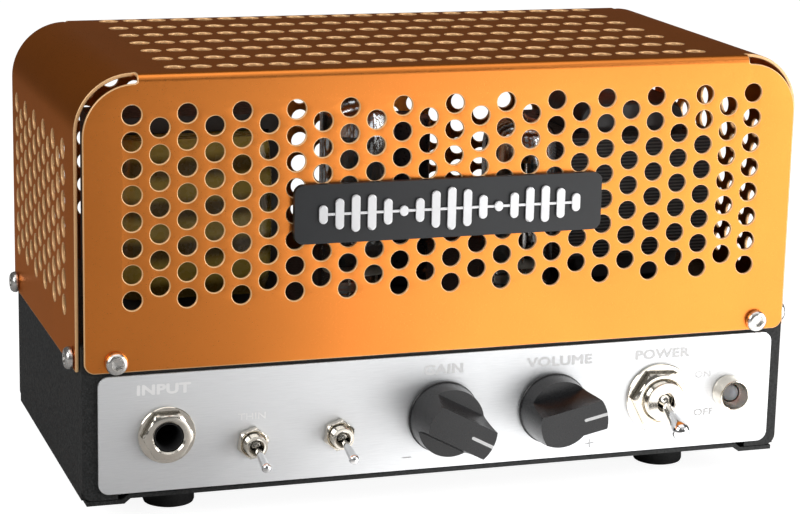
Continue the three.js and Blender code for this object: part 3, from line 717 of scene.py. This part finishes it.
def make_labels():
    for words, (x, z, width, height, weight) in FRONT_LABELS.items():
        letters = lettering(words, width, height, weight)
        place = facing_front(x, z, PANEL_LOW.y - INK_FILM)
        make(f"label_{words.lower()}", letters, INK, place=place)
    for name, (x, z) in SIGNS.items():
        sign = plate(rounded(-1.3, 1.3, -0.16, 0.16, 0.1, 3), 0.02)
        if name == "plus":
            sign = joined(sign, plate(rounded(-0.16, 0.16, 0.17, 1.3, 0.05, 3), 0.02))
            sign = joined(sign, plate(rounded(-0.16, 0.16, -1.3, -0.17, 0.05, 3), 0.02))
        place = facing_front(x, z, PANEL_LOW.y - INK_FILM)
        make(f"label_{name}", sign, INK, place=place)
    for words, node in (("8 OHM", "speaker_jack_8_ohm_nut"), ("16 OHM", "speaker_jack_16_ohm_nut")):
        spot = centre(node)
        letters = lettering(words, 3.0 * len(words) * 0.8, 2.6, 0.01)
        place = facing_rear(spot.x, spot.z + 10.5, CHASSIS_HIGH.y + INK_FILM)
        make(f"label_{words.split()[0]}_ohm", letters, INK, place=place)
    spot = (centre("speaker_jack_8_ohm_nut") + centre("speaker_jack_16_ohm_nut")) / 2
    place = facing_rear(spot.x, spot.z - 11, CHASSIS_HIGH.y + INK_FILM)
    make("label_speaker", lettering("SPEAKER", 19, 2.8, 0.02), INK, place=place)


# ---- Badge ----
def make_badge():
    low, high = extent("badge_plate")
    width, height = (high.x - low.x) / 2, (high.z - low.z) / 2
    place = facing_front((low.x + high.x) / 2, (low.z + high.z) / 2, high.y)
    base = plate(rounded(-width, width, -height, height, 2.6, 8), high.y - low.y)
    make("badge_back", base, BADGE_BLACK, place=place, replaces="badge_plate", bevel=(0.45, 3))

    # Bars that swell and fade like a loudness trace, on a thin rib.
    low, high = extent("badge_emblem")
    place = facing_front((low.x + high.x) / 2, (low.z + high.z) / 2, high.y)
    count = 17
    pitch = 4.6
    parts = []
    thickness = high.y - low.y
    for i in range(count):
        x = (i - (count - 1) / 2) * pitch
        swell = abs(math.cos(x / 40 * 1.5 * math.pi)) * (1 - 0.25 * abs(x / 40))
        half = 1.2 + 4.8 * swell
        parts.append(plate(rounded(x - 1.2, x + 1.2, -half, half, 1.19, 6), thickness))
    for i in range(count - 1):
        x = (i - (count - 2) / 2) * pitch
        parts.append(plate(rounded(x - 1.05, x + 1.05, -0.35, 0.35, 0.1, 2), thickness * 0.8))
    bars = joined(*parts)
    make("badge_level_bars", bars, BADGE_SILVER, place=place, replaces="badge_emblem", bevel=(0.14, 2))


# ---- Nuts, washers, bushings ----
def hex_nut(flats, bore, thickness):
    """Chamfered on top, with a countersunk bore."""
    flat = flats / 2
    hexagon = hexagonal(flat)
    reach = flat * 1.075
    rings = [(bore, 0), (hexagon, 0), (hexagon, thickness * 0.72)]
    rings.append((lambda a: min(hexagon(a), reach), thickness * 0.84))
    rings += [(flat * 0.975, thickness - 0.06), (flat * 0.95, thickness)]
    rings += [(bore + 0.5, thickness), (bore, thickness - 0.4)]
    return turned(rings, 72, closed=True)


def washer(outer, bore, thickness):
    soft = 0.18
    rings = [(bore, 0), (outer - soft, 0), (outer, soft), (outer, thickness - soft)]
    return turned(rings + [(outer - soft, thickness), (bore, thickness)], 64, closed=True)


def thread(radius, low, high, pitch, depth=0.18):
    """Rings of a thread's outline, from low to high."""
    rings = []
    turns = int((high - low) / pitch)
    for i in range(turns):
        z = low + i * pitch
        rings += [(radius - depth, z), (radius, z + 0.35 * pitch), (radius, z + 0.6 * pitch)]
    return rings + [(radius - depth, low + turns * pitch)]


def bushing(size, wall):
    """Threaded bushing of a toggle switch, with its mouth turned out and a seat for the lever's ball."""
    b, bore, reach = size["bushing"], size["bore"], size["reach"]
    rings = [(0, -wall), (b - 0.3, -wall)]
    rings += thread(b, -wall + 0.1, reach - 0.9, 0.55)
    rings += [(b - 0.2, reach - 0.5), (b, reach - 0.35), (b - 0.12, reach)]
    rings += [(bore + 0.32, reach), (bore, reach - 0.35), (bore, 0.8), (0, 0.8)]
    return turned(rings, 48)


def box_mesh(x, y, z, corner=0.6):
    """A moulded block between (low, high) pairs, with rounded upright corners."""
    return shifted(plate(rounded(*x, *y, corner, 4), z[1] - z[0]), z=z[0])


def make_input_jack():
    spot = centre("input_jack_nut")
    place = facing_front(spot.x, spot.z)
    low, high = depths("input_jack_washer")
    disc = shifted(washer(8.0, 4.3, high - low), z=low)
    make("input_jack_disc", disc, NICKEL, place=place, replaces="input_jack_washer")
    low, high = depths("input_jack_nut")
    nut = shifted(hex_nut(12.5, 4.2, high - low), z=low)
    make("input_jack_hex_nut", nut, NICKEL, place=place, replaces="input_jack_nut")
    jack_socket("input_jack", place, 3.95, 3.0, 3.0)


def jack_socket(node, place, nose, reach, wall):
    """Moulded body behind the panel, threaded nose through it, and the bore for the plug."""
    rings = [(0, -wall - 20), (3.3, -wall - 20), (3.3, 0), (nose - 0.35, reach - 0.5)]
    rings += [(nose - 0.2, reach), (nose - 0.08, reach)]
    rings += reversed(thread(nose, -wall, reach - 0.3, 0.6, 0.12))
    rings += [(nose, -wall - 1), (5, -wall - 1), (5, -wall - 21), (0, -wall - 21)]
    nose_mesh = turned(rings, 48)
    body = box_mesh((-8, 8), (-9.5, 9.5), (-wall - 24, -wall), 1.0)
    for v in list(body.verts):
        if v.co.z > -wall - 1:
            v.co.z = -wall - 21.5
    make(f"{node}_socket", joined(nose_mesh, body), MOULDED, place=place, replaces=node)


def lever_mesh(size):
    """Bat lever, its pivot at the origin, with a ball at the foot and a rounded tip."""
    ball, neck, tip, length = size["ball"], size["neck"], size["tip"], size["length"]
    rings = [(0, -ball)]
    for i in range(1, 9):
        angle = math.radians(144 * i / 9)
        rings.append((ball * math.sin(angle), -ball * math.cos(angle)))
    rings += [(neck * 1.02, ball * 0.98), (neck, ball * 1.3), (neck * 1.02, length * 0.4)]
    rings += [(neck + (tip - neck) * 0.5, length * 0.72), (tip * 0.93, length - tip * 0.5)]
    rings += arc(0, length, tip, 0, 90, 9)[:-1]
    return turned(rings + [(0, length + tip)], 40)


def make_toggle(name, size, nut_flats, nut_turn, washer_radius=None):
    switch = f"{name}_switch"
    spot = centre(f"{switch}_nut")
    place = facing_front(spot.x, spot.z)
    inside = 3.0  # how far behind the panel's face the case starts
    low, high = extent(f"{switch}_body")
    half_x = (high.x - low.x) / 2
    half_z = (high.z - low.z) / 2
    case = box_mesh((-half_x, half_x), (-half_z, half_z), (depths(f"{switch}_body")[0], -inside), 0.8)
    body = joined(bushing(size, inside + 0.5), case)
    make(f"{switch}_bushing", body, NICKEL, place=place, replaces=f"{switch}_body")
    bore = size["bushing"] + SEAT
    low, high = depths(f"{switch}_nut")
    nut = shifted(hex_nut(nut_flats, bore, high - low), z=low, turn=about("Z", nut_turn))
    make(f"{switch}_hex_nut", nut, NICKEL, place=place, replaces=f"{switch}_nut")
    if washer_radius:
        low, high = depths(f"{switch}_washer")
        disc = shifted(washer(washer_radius, bore, high - low), z=low)
        make(f"{switch}_disc", disc, NICKEL, place=place, replaces=f"{switch}_washer")
    joint = next(j for j in frame["joints"] if j["name"] == f"{name}_lever_throw")
    pivot = Vector(joint["pos_m"]) / MM
    hang = Matrix.Translation(pivot) @ about("X", 90) @ about("X", LEVER_REST[name])
    make(
        f"{switch}_bat", lever_mesh(size), CHROME, body=f"{name}_lever", place=hang,
        replaces=f"{switch}_lever",
    )


# ---- Knobs ----
def knob_blank():
    """The knob before its lobes are cut down: a tapered skirt on a rim, bulging above into the tip."""
    base, rim, shoulder, lobe, top = (KNOB[key] for key in ("base", "rim", "shoulder", "lobe", "top"))

    def nose(low_reach, tip_reach):
        def reach(angle):
            off = abs((angle + math.pi) % (2 * math.pi) - math.pi)
            fade = min(1.0, max(0.0, (math.radians(38) - off) / math.radians(10)))
            return low_reach + (tip_reach - low_reach) * fade
        return reach

    # Where the nose starts to stand out, it does so below the tip, so the end face slopes out to the top.
    end = nose(shoulder, KNOB["tip"])
    rings = [(0, base), (rim - 0.15, base), (rim, base + 0.15), (rim, base + 0.85), (rim - 0.12, base + 1.0)]
    rings += [(KNOB["skirt"], base + 1.05), (shoulder + 0.12, lobe)]
    rings.append((nose(shoulder + 0.1, shoulder + 0.25), lobe + 1.2))
    rings += [(end, top - 1.6), (end, top), (0, top)]
    return turned(rings, 120)


def scoop(side):
    """What is cut from one side of the blank: all above the lobe and outside the bar's scooped wall."""
    steps = 8
    wall = []
    for i in range(steps + 1):
        t = i / steps
        out = KNOB_BAR_HALF + (KNOB_WALL_FOOT - KNOB_BAR_HALF) * t ** 1.7
        wall.append((out, KNOB["top"] - (KNOB["top"] - KNOB["lobe"]) * t))
    outline = [(KNOB_BAR_HALF - 0.03, KNOB["top"] + 3)] + wall + [(16, KNOB["lobe"]), (16, KNOB["top"] + 3)]
    profile = plate([(side * u, v) for u, v in outline], 40)
    # The plate's x is across the bar and its y is up: stand it up along the bar.
    return shifted(profile, x=-20, turn=Matrix(((0, 0, 1, 0), (1, 0, 0, 0), (0, 1, 0, 0), (0, 0, 0, 1))))


def carved(blank, cutters):
    """The blank less the cutters, as a mesh."""
    def as_object(name, bm):
        mesh = bpy.data.meshes.new(name)
        bmesh.ops.recalc_face_normals(bm, faces=bm.faces)
        bm.to_mesh(mesh)
        bm.free()
        made = bpy.data.objects.new(name, mesh)
        bpy.context.scene.collection.objects.link(made)
        return made

    body = as_object("blank", blank)
    tools = [as_object("cutter", c) for c in cutters]
    for tool in tools:
        removal = body.modifiers.new("cut", "BOOLEAN")
        removal.operation = "DIFFERENCE"
        removal.solver = "EXACT"
        removal.object = tool
    bpy.context.view_layer.update()
    mesh = bpy.data.meshes.new_from_object(body.evaluated_get(bpy.context.evaluated_depsgraph_get()))
    for made in [body, *tools]:
        bpy.data.objects.remove(made)
    bm = bmesh.new()
    bm.from_mesh(mesh)
    bpy.data.meshes.remove(mesh)
    bmesh.ops.remove_doubles(bm, verts=bm.verts, dist=0.005)
    bmesh.ops.dissolve_limit(bm, angle_limit=math.radians(0.5), verts=bm.verts, edges=bm.edges)
    return bm


def make_knob(name):
    spot = centre(f"{name}_pot_shaft")
    place = facing_front(spot.x, spot.z) @ about("Z", POINTERS[name])
    body = f"{name}_knob"
    shape = carved(knob_blank(), [scoop(1), scoop(-1)])
    knob = f"{name}_pointer_knob"
    make(knob, shape, KNOB_BLACK, body=body, place=place, replaces=body, bevel=(0.16, 2, 30))
    # White line on the bar, from a rounded inner end out over the tip's edge.
    half = 0.45
    tip = KNOB["tip"] + 0.02
    inner = 3.4
    outline = [(tip, -half), (tip, half), *arc(inner + half, 0, half, 90, 180, 8)]
    line = shifted(plate(outline, 0.32), z=KNOB["top"] - 0.3)
    make(f"{name}_pointer_line", line, INLAY, body=body, place=place)


# ---- Lamp ----
def make_lamp():
    spot = centre("lamp_lens")
    place = facing_front(spot.x, spot.z)
    rings = [(2.75, -7), (3.7, -7), (3.7, SEAT), (4.8, SEAT), (4.9, 0.35), (4.9, 0.65), (4.85, 0.8)]
    rings += [(4.75, 1.0), (4.65, 1.6), (4.6, 5.0), (4.45, 5.35), (4.25, 5.45), (4.05, 5.3)]
    rings += [(3.85, 4.6), (3.4, 3.0), (2.75, 2.4)]
    bezel = turned(rings, 64, closed=True)
    make("lamp_bezel_turned", bezel, NICKEL, place=place, replaces="lamp_bezel")
    rings = [(0, -6), (2.45, -6), (2.5, -5.8), (2.5, 1.4)]
    for i in range(1, 10):
        angle = math.radians(90 * i / 10)
        rings.append((2.5 * math.cos(angle), 1.4 + 2.6 * math.sin(angle)))
    dome = turned(rings + [(0, 4.0)], 40)
    make("lamp_dome", dome, LENS, place=place, replaces="lamp_lens")


# ---- Rear ----
def make_rear():
    rear = CHASSIS_HIGH.y
    for ohms in ("8", "16"):
        node = f"speaker_jack_{ohms}_ohm"
        spot = centre(f"{node}_nut")
        place = facing_rear(spot.x, spot.z, rear)
        low, high = extent(f"{node}_nut")
        nut = shifted(hex_nut(12.5, 4.75, high.y - low.y), z=low.y - rear)
        make(f"{node}_hex_nut", nut, NICKEL, place=place, replaces=f"{node}_nut")
        jack_socket(node, place, 4.5, 4.4, 1.75)

    spot = centre("mains_inlet")
    place = facing_rear(spot.x, spot.z, rear)
    mouth = [(-12.2, -8.2), (12.2, -8.2), (12.2, 3.4), (7.6, 8.2), (-7.6, 8.2), (-12.2, 3.4)]
    flange = shifted(plate(rounded(-15.5, 15.5, -12, 12, 2.5, 6), 2.4, [mouth]), z=SEAT)
    tube = rounded(-13.5, 13.5, -9.8, 9.8, 1.0, 3)
    sleeve = shifted(plate(tube, 14.2, [mouth]), z=-14)
    floor = shifted(plate(tube, 5.9), z=-20)
    shroud = joined(flange, sleeve, floor)
    make("mains_inlet_shroud", shroud, MOULDED, place=place, replaces="mains_inlet", bevel=(0.3, 2))
    pin_places = ((-7, -2.6), (0, 2.6), (7, -2.6))
    pins = [box_mesh((x - 1, x + 1), (y - 2, y + 2), (-14, -2.5), 0.5) for x, y in pin_places]
    make("mains_inlet_pins", joined(*pins), BRASS, place=place, bevel=(0.25, 2))


# ---- Feet ----
def make_feet():
    for corner in CORNERS:
        low, high = extent(f"foot_{corner}")
        place = upright(low, high, 0)
        wide = (high.x - low.x) / 2
        top = extent("bottom_plate")[0].z + BOTTOM_STEP - SEAT
        rings = [(0, 2.5), (2.4, 2.5), (2.6, 2.3), (2.6, 0.3), (2.9, 0), (wide - 0.9, 0), (wide - 0.25, 0.25)]
        rings += [(wide, 0.9), (wide - 0.15, 4.5), (wide - 0.3, top - 0.4), (wide - 0.6, top), (1.5, top)]
        rings += [(1.5, high.z - 0.4), (1.2, high.z), (0, high.z)]
        bumper = turned(rings, 48)
        make(f"foot_{corner}_bumper", bumper, RUBBER, place=place, replaces=f"foot_{corner}")


# ---- Under the hood ----
def winding_mesh(low, high, along, corner=5.0, crown=1.2):
    """A wound coil between two corners, its axis along "z" or "y", crowned along its length."""
    size = (high - low) / 2
    length = size.z if along == "z" else size.y
    across = size.y if along == "z" else size.z
    bm = bmesh.new()
    loops = []
    steps = 10
    for i in range(steps + 1):
        t = 2 * i / steps - 1
        pull = crown * t ** 4
        outline = rounded(pull - size.x, size.x - pull, pull - across, across - pull, corner, 6)
        loops.append([bm.verts.new((x, y, t * length)) for x, y in outline])
    for lower, upper in zip(loops, loops[1:]):
        for i in range(len(lower)):
            j = (i + 1) % len(lower)
            bm.faces.new([lower[i], lower[j], upper[j], upper[i]])
    bm.faces.new(loops[0])
    bm.faces.new(loops[-1])
    bmesh.ops.recalc_face_normals(bm, faces=bm.faces)
    middle = (low + high) / 2
    turn = None if along == "z" else about("X", 90)
    return shifted(bm, *middle, turn=turn)


def make_transformers():
    for name, along, tape in (("output", "z", YELLOW_TAPE), ("power", "y", BLACK_TAPE)):
        node = f"{name}_transformer_winding"
        coil = winding_mesh(*extent(node), along)
        make(f"{name}_transformer_coil", coil, tape, replaces=node, bevel=(0.5, 2))


GLASS_WALL = 0.8


def make_valve(node, plates):
    """Glass envelope with its anodes, micas, supports and getter; plates is how many anodes stand in it."""
    low, high = extent(node)
    height = high.z - low.z
    outer = (high.x - low.x) / 2
    place = upright(low, high, low.z)
    dome = height - 9  # where the glass starts to close in
    shell = [(8.2, 0), (10.2, 1.2), (outer, 3), (outer, dome), (outer - 0.35, dome + 2.0)]
    shell += [(9.4, dome + 4.0), (7.6, dome + 5.4), (5.0, dome + 6.3), (2.8, dome + 6.8)]
    shell += [(1.7, height - 1.2), (1.0, height - 0.4)]
    floor = 0.9
    lining = [(radius - GLASS_WALL, max(z, floor)) for radius, z in shell[:-1]]
    inside = turned([(0, floor), *lining, (0, dome + 5.9)], 48)
    bmesh.ops.reverse_faces(inside, faces=inside.faces)
    glass = joined(turned([(0, 0), *shell, (0, height)], 48), inside)
    make(f"{node}_envelope", glass, GLASS, place=place, replaces=node)

    bottom, top = 9.0, dome - 5.0
    parts = []
    for i in range(plates):
        off = (i - (plates - 1) / 2) * 9.0
        wide = 3.9 if plates > 1 else 7.2
        body = shifted(plate(rounded(-wide, wide, -4.2, 4.2, 2.2, 6), top - bottom), x=off, z=bottom)
        parts.append(body)
        for k in range(4):
            z = bottom + (top - bottom) * (k + 0.5) / 4
            rib = shifted(plate(rounded(-wide - 0.35, wide + 0.35, -4.55, 4.55, 2.4, 6), 1.0), x=off, z=z)
            parts.append(rib)
    make(f"{node}_anodes", joined(*parts), ANODE, place=place, bevel=(0.15, 1))
    micas = [shifted(plate(circle(0, 0, 9.4, 36), 0.35), z=z) for z in (bottom - 1.6, top + 1.2)]
    make(f"{node}_micas", joined(*micas), MICA, place=place)
    post_places = ((-6.5, 0), (6.5, 0), (0, 5.6), (0, -5.6))
    outline = [(0, 1.2), (0.4, 1.2), (0.4, top + 3), (0, top + 3)]
    posts = [shifted(turned(outline, 12), x=x, y=y) for x, y in post_places]
    ring = shifted(washer(3.4, 2.7, 0.7), z=dome - 1.2)
    make(f"{node}_supports", joined(ring, *posts), SCREW, place=place)
    flash = [(radius - 0.05, z) for radius, z in lining if z >= dome - 4]
    flash = [(flash[0][0], dome - 4.5)] + flash + [(0, dome + 5.85)]
    flash += [(radius - 0.15, z - 0.05) for radius, z in reversed(flash[:-1])]
    getter = turned([(0, dome + 5.7)] + flash[::-1], 40)
    make(f"{node}_getter", getter, GETTER, place=place)


def make_sockets_and_capacitor():
    for name in ("power_valve_socket", "preamp_valve_socket"):
        place = upright(*extent(name), CHASSIS_HIGH.z)
        rings = [(0, -6), (9.7, -6), (10, -5.7), (10, SEAT), (12.3, SEAT), (12.5, 0.5), (12.5, 1.2)]
        rings += [(12.2, 1.45), (10.9, 1.6), (10.6, 2.4), (10.4, 2.6), (2.2, 2.6), (1.8, 2.2), (0, 2.2)]
        make(f"{name}_moulding", turned(rings, 48), CERAMIC, place=place, replaces=name)

    low, high = extent("filter_capacitor")
    radius = (high.x - low.x) / 2
    tall = high.z - low.z
    place = upright(low, high, low.z)
    rings = [(0, 0), (radius - 0.6, 0), (radius, 0.6), (radius, 3.2), (radius - 0.7, 3.9), (radius, 4.6)]
    rings += [(radius, tall - 0.9), (radius - 0.35, tall - 0.2), (radius - 0.9, tall)]
    rings += [(radius - 1.4, tall - 0.25), (0, tall - 0.25)]
    can = turned(rings, 48)
    make("filter_capacitor_can", can, SLEEVE, place=place, replaces="filter_capacitor")


def finish_cad_nodes():
    """CAD pieces that keep their shape get their finish, and the large ones softened edges."""
    finishes = {
        "chassis": (POWDER, 0.5), "bottom_plate": (POWDER, 0.3),
        "power_transformer_core": (LAMINATED_UP, 0.3), "output_transformer_core": (LAMINATED_DEEP, 0.3),
        "circuit_board": (BOARD, 0.1), "gain_pot": (NICKEL, 0.2), "volume_pot": (NICKEL, 0.2),
        "gain_pot_shaft": (NICKEL, 0.1), "volume_pot_shaft": (NICKEL, 0.1),
    }
    for name, (material, edge) in finishes.items():
        node = frame["nodes"][name]
        if not node.material_slots:
            node.data.materials.append(material)
        for held in node.material_slots:
            held.material = material
        soften(node, edge, 2)


# ---- Studio ----
FLOOR_LIFT = 0.92  # what the floor emits towards the camera
# What the floor emits towards glossy rays only, in a patch in front of the amplifier.
PATCH_SLANT = 0.311  # how far the patch's edge runs to the left for each metre it runs back
PATCH_EDGE = -0.045  # metres to the right of the origin
PATCH_FADE = 0.05  # half width of the edge
PATCH_GLOW = 1.7


def make_floor():
    """A wide floor, rising in a soft sweep far behind. It is not plain: see its emission below."""
    bm = bmesh.new()
    rows = []
    for y, z in [(-2500, 0), (1500, 0), (1900, 40), (2200, 160), (2400, 400), (2500, 900)]:
        rows.append([(-3500, y, z - 0.02), (3500, y, z - 0.02)])
    strip(bm, rows)
    bm.transform(Matrix.Scale(MM, 4))
    mesh = bpy.data.meshes.new("floor")
    bm.to_mesh(mesh)
    bm.free()
    paper = Finish("floor_paper", (0.44, 0.44, 0.44))
    paper.roughness(paper.noise(3.0), 0.7, 0.85)
    paper.colour(paper.noise(60.0), [(0.3, (0.43, 0.43, 0.43)), (0.7, (0.45, 0.45, 0.45))])
    # The floor emits in two ways that a real one would not. Camera rays see it lifted to white. Glossy rays
    # see a bright patch at the front right, which no light makes, and which shades the hood and the panel.
    ray = paper.node("ShaderNodeLightPath")
    place = paper.node("ShaderNodeNewGeometry")
    side = paper.node("ShaderNodeVectorMath", operation="DOT_PRODUCT")
    side.inputs[1].default_value = (1.0, PATCH_SLANT, 0.0)
    paper.links.new(place.outputs["Position"], side.inputs[0])
    patch = paper.node("ShaderNodeMapRange", interpolation_type="SMOOTHSTEP")
    patch.inputs["From Min"].default_value = PATCH_EDGE - PATCH_FADE
    patch.inputs["From Max"].default_value = PATCH_EDGE + PATCH_FADE
    patch.inputs["To Max"].default_value = PATCH_GLOW
    paper.links.new(side.outputs["Value"], patch.inputs["Value"])
    split = paper.node("ShaderNodeSeparateXYZ")
    paper.links.new(place.outputs["Position"], split.inputs["Vector"])
    ahead = paper.calculate("LESS_THAN", split.outputs["Y"], FRONT * MM)
    in_front = paper.calculate("MULTIPLY", patch.outputs["Result"], ahead)
    mirrored = paper.calculate("MULTIPLY", in_front, ray.outputs["Is Glossy Ray"])
    glow = paper.calculate("MULTIPLY_ADD", ray.outputs["Is Camera Ray"], FLOOR_LIFT, mirrored)
    paper.links.new(glow, paper.shader.inputs["Emission Strength"])
    paper.shader.inputs["Emission Color"].default_value = (1, 1, 1, 1)
    paper.material.cycles.emission_sampling = "NONE"
    mesh.materials.append(paper.material)
    floor = bpy.data.objects.new("floor", mesh)
    bpy.context.scene.collection.objects.link(floor)


AIM = Vector((0, 0, 0.07))  # metres: what the lights point at


def softbox(name, azimuth, elevation, distance, width, height, watts):
    """A rectangular area light. Azimuth is measured from straight in front, towards the right."""
    az, el = math.radians(azimuth), math.radians(elevation)
    out = Vector((math.sin(az) * math.cos(el), -math.cos(az) * math.cos(el), math.sin(el)))
    light = bpy.data.lights.new(name, "AREA")
    light.shape = "RECTANGLE"
    light.size = width
    light.size_y = height
    light.energy = watts
    lamp = bpy.data.objects.new(name, light)
    lamp.location = AIM + out * distance
    lamp.rotation_euler = out.to_track_quat("Z", "Y").to_euler()
    bpy.context.scene.collection.objects.link(lamp)


def make_studio():
    make_floor()
    softbox("key_right", 55, 6, 0.9, 0.6, 0.7, 6)
    softbox("front_high", 25, 42, 1.4, 1.4, 0.7, 1.5)
    softbox("overhead", 10, 78, 1.5, 1.6, 1.2, 7)
    softbox("left_fill", -62, 30, 1.1, 0.6, 0.6, 5)
    # The world is white to the camera, and dim to everything it lights.
    world = bpy.data.worlds.new("studio")
    world.use_nodes = True
    nodes, links = world.node_tree.nodes, world.node_tree.links
    bright = nodes["Background"]
    bright.inputs["Color"].default_value = (1, 1, 1, 1)
    bright.inputs["Strength"].default_value = 1.0
    dim = nodes.new("ShaderNodeBackground")
    dim.inputs["Color"].default_value = (1, 1, 1, 1)
    dim.inputs["Strength"].default_value = 0.12
    ray = nodes.new("ShaderNodeLightPath")
    mix = nodes.new("ShaderNodeMixShader")
    links.new(ray.outputs["Is Camera Ray"], mix.inputs["Fac"])
    links.new(dim.outputs["Background"], mix.inputs[1])
    links.new(bright.outputs["Background"], mix.inputs[2])
    links.new(mix.outputs["Shader"], nodes["World Output"].inputs["Surface"])
    bpy.context.scene.world = world
    bpy.context.scene.view_settings.view_transform = "Standard"


CAMERA_TARGET = Vector((-15.02, FRONT, 72.46)) * MM
CAMERA_ANGLES = (-18.514, 13.536, 1.27)  # azimuth, elevation and roll in degrees
CAMERA_DISTANCE = 0.68068
CAMERA_LENS = 111.16


def make_camera():
    """A camera at the photograph's viewing angle."""
    azimuth, elevation, roll = (math.radians(angle) for angle in CAMERA_ANGLES)
    level = math.cos(elevation)
    back = Vector((math.sin(azimuth) * level, -math.cos(azimuth) * level, math.sin(elevation)))
    right = (-back).cross(Vector((0, 0, 1))).normalized()
    up = right.cross(-back)
    across = right * math.cos(roll) + up * math.sin(roll)
    upright_axis = up * math.cos(roll) - right * math.sin(roll)
    data = bpy.data.cameras.new("camera")
    data.sensor_width = 36
    data.lens = CAMERA_LENS
    data.clip_start = 0.01
    camera = bpy.data.objects.new("camera", data)
    facing = Matrix((across, upright_axis, back)).transposed().to_4x4()
    camera.matrix_world = Matrix.Translation(CAMERA_TARGET + back * CAMERA_DISTANCE) @ facing
    bpy.context.scene.collection.objects.link(camera)
    bpy.context.scene.camera = camera


# ---- The whole amplifier ----
make_camera()
make_studio()
make_hood()
make_screws()
make_front_panel()
make_labels()
make_badge()
make_input_jack()
make_toggle("tone", MINI_TOGGLE, 8.0, 20)
make_toggle("voice", MINI_TOGGLE, 8.0, 20)
make_toggle("power", POWER_TOGGLE, 15.6, -3, washer_radius=10.2)
make_knob("gain")
make_knob("volume")
make_lamp()
make_rear()
make_feet()
make_transformers()
make_valve("power_valve", 1)
make_valve("preamp_valve", 2)
make_sockets_and_capacitor()
finish_cad_nodes()
